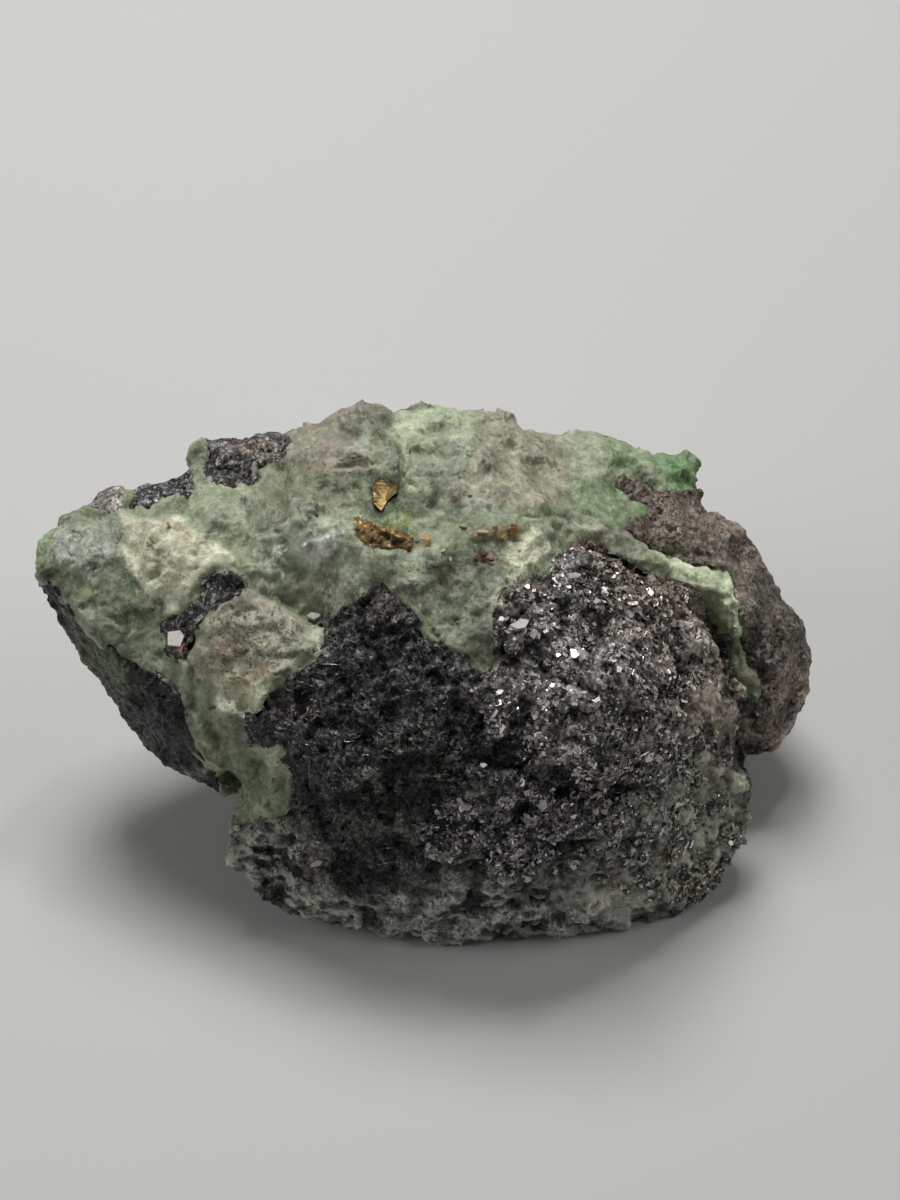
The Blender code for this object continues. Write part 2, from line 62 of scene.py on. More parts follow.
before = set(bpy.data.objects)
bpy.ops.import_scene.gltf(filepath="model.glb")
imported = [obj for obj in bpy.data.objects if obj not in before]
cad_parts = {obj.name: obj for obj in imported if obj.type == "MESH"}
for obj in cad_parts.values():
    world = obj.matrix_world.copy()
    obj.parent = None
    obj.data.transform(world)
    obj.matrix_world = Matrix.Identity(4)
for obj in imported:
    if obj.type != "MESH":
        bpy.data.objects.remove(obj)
SOLID_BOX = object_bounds()
MM = 0.001

# The display face, in millimetres: where its middle is, how far it leans back, and how far off the eye is
FACE_MIDDLE = np.array((1.4, -3.6, 24.0))
FACE_TILT = math.radians(50)
EYE = 157.0
UP_FACE = np.array((0, math.sin(FACE_TILT), math.cos(FACE_TILT)))
OUT_OF_FACE = np.array((0, -math.cos(FACE_TILT), math.sin(FACE_TILT)))
# The camera's lens and sensor, in millimetres
LENS = 60
SENSOR = 36


# Relief, all in millimetres

# How many different random numbers the grids of cells draw on
LATTICE_SIZE = 4093


def draws(cell, seed):
    """Three random numbers for each cell of a grid, the same every time."""
    table = np.random.default_rng(seed).random((LATTICE_SIZE, 3))
    key = cell[:, 0] * 73856093 ^ cell[:, 1] * 19349663 ^ cell[:, 2] * 83492791
    return table[key % LATTICE_SIZE]


def swell(points, size, seed):
    """Smooth noise from -1 to 1 whose swellings are about size millimetres across."""
    place = points / size
    cell = np.floor(place).astype(np.int64)
    share = place - cell
    share = share * share * (3 - 2 * share)
    total = np.zeros(len(points))
    for corner in product((0, 1), repeat=3):
        weight = np.prod(np.where(corner, share, 1 - share), axis=1)
        total += weight * draws(cell + corner, seed)[:, 0]
    return 2 * total - 1


def rough(points, size, seed, octaves=3):
    """Smooth noise with finer noise on it, each octave half as wide and half as high."""
    return sum(swell(points, size / 2**k, seed + k) / 2**k for k in range(octaves))


def shaken(points, by, size, seed):
    """Points pushed about by noise, so that what is worked out from them has ragged edges."""
    return points + by * rough(points, size, seed)[:, None]


def grains(points, size, seed):
    """The grain that each point is in: how far its middle and the next one's are, as shares of size,
    three random numbers of its own, and the way from its middle to the point."""
    place = points / size
    cell = np.floor(place).astype(np.int64)
    near = np.full(len(points), np.inf)
    beyond = near.copy()
    own = np.zeros((len(points), 3))
    away = np.zeros((len(points), 3))
    for step in product((-1, 0, 1), repeat=3):
        to_point = place - cell - step - draws(cell + step, seed)
        gap = np.linalg.norm(to_point, axis=1)
        closer = gap < near
        beyond = np.where(closer, near, np.minimum(beyond, gap))
        near = np.where(closer, gap, near)
        own[closer] = draws(cell + step, seed + 1)[closer]
        away[closer] = to_point[closer]
    return near, beyond, own, away


def chips(points, size, seed, tilt=1.6):
    """Flat chips about size across, each leaning and set its own way, from -1 to 1."""
    _, _, own, away = grains(points, size, seed)
    lean = (away * (2 * own - 1)).sum(axis=1) * tilt
    return np.clip(lean + 2 * own[:, 0] - 1, -1, 1)


def on_face(points):
    """Where points show on the display face as the eye sees them: across, up, and how far out."""
    off = points - FACE_MIDDLE
    out = off @ OUT_OF_FACE
    shrink = 1 - out / EYE
    return np.stack([off[:, 0] / shrink, off @ UP_FACE / shrink, out], axis=1)


def line_gap(face, line):
    """How far each place on the face lies from a line of straight runs."""
    nearest = np.full(len(face), np.inf)
    for start, end in zip(np.array(line[:-1]), np.array(line[1:])):
        run = end - start
        share = np.clip((face[:, :2] - start) @ run / (run @ run), 0, 1)
        gap = np.linalg.norm(face[:, :2] - start - share[:, None] * run, axis=1)
        nearest = np.minimum(nearest, gap)
    return nearest


def smooth_step(value, low, high):
    share = np.clip((value - low) / (high - low), 0, 1)
    return share * share * (3 - 2 * share)


def spot(face, across, up, half_across, half_up, turn=0):
    """1 inside a slanted oval on the face, falling to 0 past its edge."""
    angle = math.radians(turn)
    x = face[:, 0] - across
    y = face[:, 1] - up
    along = x * math.cos(angle) + y * math.sin(angle)
    aside = y * math.cos(angle) - x * math.sin(angle)
    reach = np.hypot(along / half_across, aside / half_up)
    return 1 - smooth_step(reach, 0.6, 1.3)


# Meshes

def points_of(mesh):
    flat = np.empty(len(mesh.vertices) * 3, np.float32)
    mesh.vertices.foreach_get("co", flat)
    return flat.reshape(-1, 3).astype(float) / MM


def normals_of(mesh):
    flat = np.empty(len(mesh.vertices) * 3, np.float32)
    mesh.vertex_normals.foreach_get("vector", flat)
    return flat.reshape(-1, 3).astype(float)


def place_points(mesh, points):
    """Sets the mesh's points, kept within the solids' own box."""
    low, high = (np.array(corner) for corner in SOLID_BOX)
    mesh.vertices.foreach_set("co", np.clip(points * MM, low, high).ravel().astype(np.float32))
    mesh.update()


def changed(obj, *steps):
    """Runs modifiers over an object's mesh: each step is a kind with its settings."""
    for kind, settings in steps:
        modifier = obj.modifiers.new(kind.lower(), kind)
        for key, value in settings.items():
            setattr(modifier, key, value)
    graph = bpy.context.evaluated_depsgraph_get()
    obj.data = bpy.data.meshes.new_from_object(obj.evaluated_get(graph))
    obj.modifiers.clear()
    return obj


# Corners nearer than this are one corner, in metres
SEAM = 1e-6
# How far a skin runs on under its neighbours, how deep it dips there, and how deep in the stone its faces
# are thinned, in millimetres
LAP = 0.6
DIP = 0.4
BURIED = 2.5 * LAP
# The stone's form: how far it is grown and shrunk again to close its gaps, the size of its faces, in
# millimetres, and how many times it is rounded
FORM_GROWTH = 0.25
FORM_STEP = 0.4
FORM_ROUNDS = 6


def grown(by):
    """A step that moves the surface out by so many millimetres."""
    return "DISPLACE", {"mid_level": 0, "strength": by * MM}


def even(step):
    """A step that makes the mesh anew from even faces."""
    return "REMESH", {"mode": "VOXEL", "voxel_size": step * MM}


def rounded(times):
    """A step that wears the edges down."""
    return "SMOOTH", {"factor": 0.6, "iterations": times}


def linked(name, data):
    """A new object in the scene."""
    obj = bpy.data.objects.new(name, data)
    bpy.context.scene.collection.objects.link(obj)
    return obj


def solid_copy(name, nodes):
    """One new object with the meshes of these solids."""
    body = bmesh.new()
    for node in nodes:
        body.from_mesh(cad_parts[node].data)
    bmesh.ops.remove_doubles(body, verts=body.verts[:], dist=SEAM)
    mesh = bpy.data.meshes.new(name)
    body.to_mesh(mesh)
    body.free()
    return linked(name, mesh)


class Form:
    """A surface that points can be brought to: one solid's, or the whole stone's without gaps."""

    def __init__(self, mesh):
        corners = points_of(mesh)
        self.faces = [tuple(face.vertices) for face in mesh.polygons]
        self.normals = normals_of(mesh)
        self.tree = BVHTree.FromPolygons([Vector(corner) for corner in corners], self.faces)

    def nearest(self, points):
        """For each point, the nearest place on the surface, the way out of the surface there, and
        how deep under it the point is."""
        found = [self.tree.find_nearest(point) for point in points]
        place = np.array([item[0] for item in found])
        out = np.array([self.normals[list(self.faces[item[2]])].mean(axis=0) for item in found])
        return place, out, ((place - points) * out).sum(axis=1)

    def gap(self, points):
        return np.array([self.tree.find_nearest(point)[3] for point in points])


def stone_form():
    """The whole stone's skin, rounded and with the gaps between its minerals closed."""
    obj = solid_copy("form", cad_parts)
    changed(obj, grown(FORM_GROWTH), even(FORM_STEP), rounded(FORM_ROUNDS), grown(-FORM_GROWTH))
    form = Form(obj.data)
    bpy.data.objects.remove(obj)
    return form


def lap_skin(node, step, keep=1.0):
    """A fine mesh of one mineral that lies on the stone's form and runs on a little under its neighbours.

    Its faces deep in the stone are thinned until only the share keep of all faces is left. Returns the
    object, its points, the way out of the stone at each, how far past its own border each is, from -1
    well inside it to 1 well under a neighbour, and how fully each lies on the form.
    """
    obj = changed(solid_copy(node + "_skin", [node]), grown(LAP), even(step))
    if keep < 1:
        buried = STONE.nearest(points_of(obj.data))[2] > BURIED
        group = obj.vertex_groups.new(name="buried")
        group.add(np.flatnonzero(buried).tolist(), 1.0, "REPLACE")
        changed(obj, ("DECIMATE", {"vertex_group": group.name, "ratio": keep}))
    points = points_of(obj.data)
    place, out, depth = STONE.nearest(points)
    hold = 1 - smooth_step(depth, 0.7 * LAP, 2 * LAP)
    points += hold[:, None] * (place - points)
    place_points(obj.data, points)
    obj.data.shade_smooth()
    others = [name for name in SOLIDS if name != node]
    gaps = [SOLIDS[name].gap(points) for name in others]
    past = np.clip((SOLIDS[node].gap(points) - np.min(gaps, axis=0)) / LAP, -1, 1)
    return obj, points, out, past, hold


def linear(colour):
    """A colour as light, from its red, green and blue on a screen's 0 to 255 scale."""
    share = np.array(colour[:3]) / 255
    return np.where(share < 0.04045, share / 12.92, ((share + 0.055) / 1.055) ** 2.4)


def store(mesh, name, values):
    """Keeps a colour or a number for each point of the mesh, for its material."""
    if values.ndim == 1:
        layer = mesh.attributes.new(name, "FLOAT", "POINT")
        layer.data.foreach_set("value", values.astype(np.float32))
    else:
        layer = mesh.attributes.new(name, "FLOAT_COLOR", "POINT")
        full = np.concatenate([values, np.ones((len(values), 1))], axis=1)
        layer.data.foreach_set("color", full.ravel().astype(np.float32))


def finished(obj, node, material):
    """The piece takes its solid's place on the stone."""
    obj.data.materials.clear()
    obj.data.materials.append(material)
    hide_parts(node)
    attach(obj, "root")
    return obj


# Colours as they look on a screen, from 0 to 255: the paint lists and the materials name them
PAINTS = {
    "mid": (136, 147, 114),
    "pale": (176, 185, 156),
    "light": (184, 196, 160),
    "deep": (84, 106, 66),
    "bright": (132, 156, 110),
    "vivid": (108, 148, 94),
    "yellow green": (112, 128, 48),
    "olive": (114, 114, 82),
    "beige": (176, 170, 146),
    "warm grey": (144, 136, 118),
    "frost": (172, 180, 166),
    "green grey": (100, 106, 86),
    "rust": (104, 64, 26),
    "tan": (170, 140, 92),
    "orange": (190, 130, 50),
    "pink grey": (166, 150, 138),
    "white": (205, 208, 196),
    # Dark paint for the slits: partly the cracks' own colour, partly painted shade in them
    "slit": (44, 50, 34),
    "bronze": (140, 112, 66),
    "lead": (74, 70, 62),
    "cream": (232, 232, 200),
    "snow": (236, 242, 228),
    "leaf": (222, 236, 194),
    "bottle": (74, 94, 50),
    "black": (46, 43, 45),
    "silver": (176, 172, 166),
    "brown": (120, 106, 94),
    "red brown": (122, 98, 86),
    "grey": (124, 124, 116),
    "grey green": (188, 192, 168),
    # A grey film, painted much lighter than its own colour so that the shaded underside looks lit: partly
    # its colour, partly painted light
    "film_and_painted_light": (226, 228, 214),
    "grain": (214, 214, 198),
    "green": (128, 150, 112),
    "dark green": (70, 78, 64),
    "silver flake": (214, 210, 204),
    "pink white": (250, 240, 232),
    "rosy": (176, 120, 110),
    "pale brown": (222, 204, 186),
    "dark red": (70, 44, 42),
    "violet black": (46, 40, 44),
    "streak": (204, 204, 194),
    "moss": (82, 96, 68),
    # Painted shadow: nearly black, for the shade in the flank's hollow
    "hollow_shadow": (10, 11, 8),
    "lead brown": (104, 78, 48),
    "gold": (186, 158, 100),
    "veil": (226, 224, 202),
    "fibre": (206, 212, 198),
    "sparkle": (222, 226, 218),
    "dark speck": (60, 54, 44),
    "dull flake": (90, 88, 90),
    "clear flake": (255, 252, 248),
    "sheen": (206, 204, 200),
    "pale grit": (184, 186, 170),
    "glint": (226, 222, 214),
    "loose flake": (250, 247, 244),
    "hair": (255, 248, 238),
    "tarnish": (176, 168, 160),
    "ridge": (186, 160, 108),
}

# The garnet's patches: the paint, its strength, and the outline on the face (across, up) or the oval
GARNET_PATCHES = (
    ("mid", 0.8, ((-34, 7.6), (-26.4, 7.8), (-25.4, 4.4), (-24.4, 1.4), (-23.4, -2.0), (-27.5, -1.4),
        (-34, 2))),
    ("frost", 0.8, ((-31.0, 5.6), (-28.6, 6.3), (-26.4, 5.4), (-26.6, 2.6), (-28.6, 1.5), (-30.8, 2.6))),
    ("deep", 0.75, ((-28.4, 2.4), (-26.4, 2.8), (-24.2, 1.4), (-23.0, -1.2), (-24.2, -2.6),
        (-27.2, -0.6))),
    ("green grey", 0.75, ((-33.4, 2.6), (-31.4, 2.0), (-26.6, -3.2), (-23.2, -5.6), (-20.6, -7.4),
        (-18.8, -12.4), (-21.6, -11.0), (-27.0, -6.4), (-34.0, -0.2))),
    ("frost", 0.35, ((-31.8, 1.6), (-28.4, -0.6), (-24.6, -3.6), (-21.4, -5.2), (-20.2, -8.0),
        (-22.0, -6.6), (-26.4, -3.4), (-31.2, 0.6))),
    ("cream", 0.9, ((-26.2, 6.9), (-23.4, 6.2), (-21.2, 6.8), (-20.6, 5.5), (-16.8, 3.6), (-16.5, 2.7),
        (-18.7, 2.7), (-19.9, 1.4), (-20.3, -0.2), (-21.5, -1.1), (-22.4, -1.4), (-22.8, 0.2),
        (-24.3, 1.4), (-25.6, 3.3), (-25.9, 5.2))),
    ("beige", 0.4, ((-25.8, 6.4), (-23.0, 5.8), (-21.4, 5.2), (-20.4, 3.2), (-22.0, 1.6), (-24.2, 2.4),
        (-25.4, 4.0))),
    ("pale", 0.6, ((-20.3, 9.6), (-16.2, 9.3), (-15.9, 7.1), (-16.2, 5.8), (-18.1, 5.4), (-20.3, 6.0),
        (-20.9, 8.0))),
    ("olive", 0.8, ((-15.4, 10.4), (-12.8, 10.8), (-8.6, 10.2), (-7.4, 9.4), (-8.4, 7.6), (-10.8, 6.6),
        (-13.7, 6.1), (-15.7, 8.2))),
    ("pale", 0.75, ((-15.2, 6.1), (-11.0, 6.4), (-7.8, 6.6), (-6.2, 3.4), (-6.1, 1.4), (-9.0, 0.2),
        (-11.8, -0.6), (-14.2, 1.0), (-15.6, 3.3))),
    ("snow", 0.95, ((-14.6, 5.6), (-12.4, 6.2), (-11.2, 4.2), (-9.0, 5.8), (-8.4, 4.6), (-10.2, 2.6),
        (-12.6, 2.4), (-14.4, 3.6))),
    ("pale", 0.5, ((-9.4, 2.8), (-6.6, 3.2), (-6.2, 1.6), (-8.2, 0.6))),
    ("green grey", 0.7, ((-10.8, 2.2), (-8.4, 2.2), (-7.4, 0.2), (-9.0, -1.0), (-11.2, -0.4))),
    ("beige", 0.9, ((-19.0, -0.5), (-16.2, 1.1), (-13.3, 0.2), (-11.1, -1.4), (-9.9, -2.0), (-9.6, -3.9),
        (-11.8, -4.9), (-13.4, -6.4), (-16.2, -6.6), (-20.2, -6.4), (-20.8, -4.6), (-19.4, -2.4))),
    ("pale", 0.7, ((-11.8, -2.6), (-9.9, -2.2), (-9.7, -3.8), (-11.4, -4.7), (-12.4, -3.8))),
    ("cream", 1.0, ((-18.8, -5.6), (-15.6, -5.4), (-13.8, -6.6), (-14.6, -8.2), (-16.0, -9.4),
        (-18.6, -8.4))),
    ("green grey", 0.5, ((-19.4, -7.0), (-16.6, -8.6), (-15.8, -11.6), (-17.0, -12.6), (-18.6, -11.6))),
    ("deep", 0.7, ((-17.8, -12.4), (-15.8, -12.0), (-14.6, -13.6), (-13.8, -16.2), (-16.0, -18.6),
        (-18.2, -17.0))),
    ("pale", 0.8, ((-15.4, -11.8), (-13.0, -11.4), (-13.2, -12.4), (-12.0, -13.8), (-12.2, -15.0),
        (-14.2, -14.2))),
    ("warm grey", 0.9, ((-12.8, 14.6), (-9.8, 15.0), (-6.8, 16.4), (-5.0, 15.4), (-4.7, 13.0),
        (-5.2, 11.3), (-6.5, 9.8), (-9.8, 10.2), (-12.8, 10.8))),
    ("pink grey", 0.6, ((-10.6, 12.6), (-7.4, 12.8), (-6.0, 11.2), (-8.2, 10.6), (-11.2, 11.0))),
    ("pale", 0.6, ((-6.6, 14.4), (-4.9, 13.6), (-4.9, 10.8), (-6.6, 10.6), (-7.0, 12.6))),
    ("bottle", 0.9, ((-7.8, 9.7), (-6.6, 9.9), (-3.8, 9.6), (-0.9, 7.6), (-3.4, 5.6), (-6.0, 5.8),
        (-7.4, 7.4))),
    ("light", 0.9, ((-4.7, 13.0), (-4.2, 14.8), (-1.9, 15.2), (-0.5, 16.4), (1.6, 16.0), (2.6, 14.8),
        (2.4, 12.6), (1.7, 11.3), (0.8, 11.9), (-0.9, 10.7), (-3.8, 11.0))),
    ("mid", 0.7, ((-3.6, 12.8), (-1.2, 13.2), (0.4, 12.2), (-0.8, 11.0), (-3.4, 11.3))),
    ("light", 0.8, ((-3.9, 9.5), (-1.3, 8.9), (-1.4, 7.7), (-3.4, 8.3))),
    ("light", 0.5, ((-1.4, 9.4), (1.2, 9.2), (1.6, 7.4), (-0.6, 7.0))),
    ("beige", 0.95, ((2.4, 15.6), (4.7, 14.9), (6.7, 13.6), (9.3, 12.9), (10.2, 9.7), (8.0, 7.6),
        (5.7, 7.3), (1.4, 7.3), (-0.9, 8.4), (1.4, 9.7), (2.2, 12.3))),
    ("warm grey", 0.6, ((5.4, 12.4), (7.2, 12.8), (8.2, 11.2), (6.6, 10.6))),
    ("frost", 0.5, ((1.2, 8.0), (3.2, 7.8), (3.4, 6.6), (1.4, 6.6))),
    ("pale", 0.8, ((6.7, 14.2), (12.6, 14.4), (14.8, 12.0), (11.3, 9.3), (9.3, 9.9), (8.4, 12.2))),
    ("bright", 0.8, ((12.0, 13.8), (16.6, 13.6), (18.0, 11.4), (14.6, 9.7), (12.0, 10.2))),
    ("vivid", 0.9, ((15.6, 13.8), (21.4, 11.6), (20.6, 7.6), (17.3, 8.4), (15.8, 10.4))),
    ("bright", 0.6, ((9.3, 9.6), (13.3, 9.4), (15.6, 6.6), (13.3, 4.8), (10.0, 6.2))),
    ("pale", 0.7, ((9.6, 7.2), (12.2, 6.6), (15.8, 4.6), (15.0, 2.8), (11.4, 4.6), (9.0, 5.8))),
    ("olive", 0.7, ((9.4, 5.4), (14.0, 5.4), (16.4, 4.2), (15.6, 2.4), (12.4, 3.6), (9.0, 4.2))),
    ("pink grey", 0.5, ((11.0, 6.4), (14.6, 5.2), (14.2, 4.2), (11.4, 5.2))),
    ("leaf", 1.0, ((15.9, 3.6), (17.7, 3.6), (20.4, 3.2), (22.7, 1.6), (23.6, -0.4), (23.4, -2.9),
        (21.2, -3.2), (19.4, -0.4), (17.8, 1.6))),
    ("yellow green", 0.8, ((-5.0, 6.8), (-3.0, 7.0), (-2.3, 5.2), (-3.2, 4.2), (-4.6, 5.4))),
    ("beige", 0.6, ((22.4, -3.2), (24.0, -4.4), (24.6, -7.4), (23.0, -6.4))),
    ("pale", 0.6, ((-5.8, 3.6), (-1.4, 4.2), (-0.8, 2.6), (-3.0, 1.0), (-5.4, 1.8))),
    ("green grey", 0.7, ((-1.6, 3.2), (3.0, 4.0), (4.4, 2.2), (3.6, 0.2), (0.4, -0.6), (-2.4, -0.4))),
    ("cream", 0.9, ((3.4, 5.0), (6.8, 5.6), (8.4, 3.8), (5.8, 2.2), (4.2, 3.0))),
    ("green grey", 1.0, ((0.4, -1.4), (3.6, -0.6), (3.8, -3.6), (3.2, -5.8), (1.2, -5.0))),
    ("cream", 0.8, ((3.4, 1.6), (6.6, 2.0), (6.4, -0.8), (4.2, -2.2), (3.2, -0.6))),
    ("tan", 0.9, ((1.7, 5.8), (5.0, 6.1), (5.3, 4.7), (3.7, 4.9), (2.0, 4.9))),
    ("orange", 0.8, ((4.4, 5.9), (5.3, 5.9), (5.3, 4.8), (4.6, 4.8))),
    ("rust", 0.9, ((1.9, 3.9), (3.7, 3.8), (3.7, 2.9), (2.0, 2.9))),
    ("orange", 0.9, ((-2.4, 5.2), (-1.2, 5.0), (-1.3, 4.3), (-2.3, 4.4))),
    ("rust", 0.6, ((-11.2, 10.9), (-9.4, 10.6), (-9.6, 9.9), (-11.0, 10.1))),
    ("bright", 0.9, ((-34, 6.8), (-31.2, 6.9), (-30.9, 5.4), (-31.6, 2.4), (-34, 2.6))),
    ("bright", 0.7, ((-31.4, 8.0), (-26.8, 8.0), (-27.6, 6.8), (-31.2, 6.6))),
    ("tan", 0.6, (-15.6, -5.8, 1.6, 0.7, 20)),
    ("tan", 0.5, (-17.4, -3.4, 1.2, 0.8, 0)),
    ("rust", 0.5, (-18.4, -5.4, 1.0, 0.5, 0)),
    ("tan", 0.5, ((-23.0, 6.2), (-20.8, 5.8), (-19.8, 4.2), (-21.4, 4.8))),
)
# Thin dark lines and slits in the garnet, sunk a little and painted dark, partly as the cracks' own colour
# and partly as painted shade in them: the line, its half width and its strength
GARNET_LINES = (
    (((-16.6, 8.2), (-15.9, 7.2), (-15.9, 6.0)), 0.16, 0.8),
    (((-5.0, 11.4), (-4.4, 10.3), (-4.2, 9.6)), 0.3, 1.0),
    (((-2.8, 9.9), (-0.6, 10.1), (1.1, 10.0)), 0.16, 0.7),
    (((-4.0, 15.0), (-1.9, 15.1)), 0.35, 0.8),
    (((5.3, 6.6), (8.0, 6.6), (10.7, 5.4)), 0.12, 0.7),
    (((-14.6, 0.8), (-13.2, 0.5), (-12.4, 0.0)), 0.2, 0.9),
    (((-26.2, 6.9), (-25.8, 5.2), (-24.3, 1.4), (-22.6, -0.4)), 0.08, 0.45),
    (((-8.4, 7.6), (-10.8, 6.6), (-13.7, 6.1), (-15.4, 5.4)), 0.1, 0.5),
    (((1.7, 4.8), (3.8, 4.7), (5.4, 4.6)), 0.12, 0.7),
    (((-19.2, -0.8), (-20.8, -4.4), (-19.8, -6.6)), 0.12, 0.5),
    (((-7.4, 5.4), (-6.4, 4.2), (-4.6, 4.0)), 0.14, 0.7),
)
# How thickly dark specks lie, and how sugary the surface is: the strength, and the oval that it
# covers on the face (across, up, half width, half height, turn)
SPECK_PLACES = (
    (1.0, (-15.4, -3.6, 5.0, 3.2, -10)),
    (0.5, (-22.6, 4.0, 3.4, 3.0, 0)),
    (0.6, (-17.6, -9.0, 1.8, 4.0, 0)),
    (0.8, (-1.0, 1.0, 5.0, 2.6, 0)),
    (0.8, (5.0, 2.2, 4.4, 3.0, 0)),
    (0.4, (6.0, 10.0, 8.0, 4.0, 0)),
    (0.6, (-9.0, 9.4, 4.0, 1.6, 0)),
    (0.7, (-5.4, 5.0, 3.0, 1.6, -10)),
)
SUGAR_PLACES = (
    (1.0, (-28.8, 4.0, 2.8, 2.4, 0)),
    (0.4, (-24.0, -1.2, 2.6, 1.6, -40)),
    (0.8, (-12.0, 4.6, 4.0, 3.0, 0)),
    (0.4, (-9.0, 0.8, 3.0, 1.8, 0)),
    (0.5, (-14.6, -2.2, 3.6, 2.0, 0)),
    (0.4, (0.0, 11.6, 5.0, 3.0, 0)),
)
# Where the garnet lies flush with the lumps beside it
PRESSED_PLACES = (
    (1.0, (20.4, 0.6, 4.2, 1.7, -50)),
    (0.8, (14.6, 4.4, 4.6, 1.3, -25)),
    (0.7, (-14.6, -2.2, 4.0, 3.0, 0)),
)


def warped(points, face, reach=0.9):
    """Places on the face, pushed about so that what is painted there has ragged edges."""
    bent = face.copy()
    for axis in (0, 1):
        bent[:, axis] += reach * (swell(points, 2.6, 31 + axis) + 0.5 * swell(points, 0.9, 41 + axis))
    return bent


def patch(face, outline):
    """1 inside a closed outline on the face, falling to 0 just past its edge."""
    found = np.zeros(len(face), bool)
    across, up = face[:, 0], face[:, 1]
    for (x0, y0), (x1, y1) in zip(outline, outline[1:] + outline[:1]):
        if y0 != y1:
            found ^= ((up > y0) != (up > y1)) & (across < x0 + (up - y0) * (x1 - x0) / (y1 - y0))
    edge = line_gap(face, outline + outline[:1])
    return smooth_step(np.where(found, edge, -edge), -0.2, 0.25)


# How much darker the edge of a patch is than the patch, as a share
EDGE_SHADE = 0.22


def painted(points, base, paints, front):
    """The base paint with each listed paint over it where the face shows it."""
    face = on_face(points)
    colour = np.tile(linear(PAINTS[base]), (len(points), 1))
    loose = warped(points, face)
    near = warped(points, face, 0.35)
    broken = 0.25 + 0.85 * smooth_step(rough(points, 1.1, 45, 4), -0.25, 0.3)
    for name, strength, place in paints:
        edged = isinstance(place[0], tuple)
        inside = patch(near, place) if edged else np.minimum(spot(loose, *place) * broken, 1)
        wash(colour, strength * front * inside, name)
        if edged:
            colour *= (1 - EDGE_SHADE * 4 * strength * front * inside * (1 - inside))[:, None]
    return colour


def wash(colour, share, paint):
    """Lays a paint over the colour, as fully as the share at each point says."""
    colour += share[:, None] * (linear(PAINTS[paint]) - colour)


def amount(points, places, front):
    """How strongly a listed quality shows at each point, from 0 to 1."""
    bent = warped(points, on_face(points))
    level = np.zeros(len(points))
    for strength, place in places:
        level = np.maximum(level, strength * front * spot(bent, *place))
    return level


def along_lines(places, lines, front):
    """How strongly thin listed lines show at each place: each is a line, its half width and its strength."""
    level = np.zeros(len(places))
    for line, half_width, strength in lines:
        shown = np.exp(-((line_gap(places, line) / half_width) ** 2))
        level = np.maximum(level, strength * front * shown)
    return level


def faces_front(normals):
    """1 where the surface is turned towards the display face's side, 0 at the back."""
    return smooth_step(normals @ OUT_OF_FACE, -0.35, 0.1)


# Shader expressions

class Value:
    """A material socket that can be added, multiplied and so on like a number."""

    def __init__(self, shader, socket):
        self.shader = shader
        self.socket = socket

    def joined(self, operation, first, second):
        return self.shader.node("ShaderNodeMath", {"operation": operation}, {0: first, 1: second})

    def __add__(self, other):
        return self.joined("ADD", self, other)

    def __sub__(self, other):
        return self.joined("SUBTRACT", self, other)

    def __rsub__(self, other):
        return self.joined("SUBTRACT", other, self)

    def __mul__(self, other):
        return self.joined("MULTIPLY", self, other)

    __radd__ = __add__
    __rmul__ = __mul__


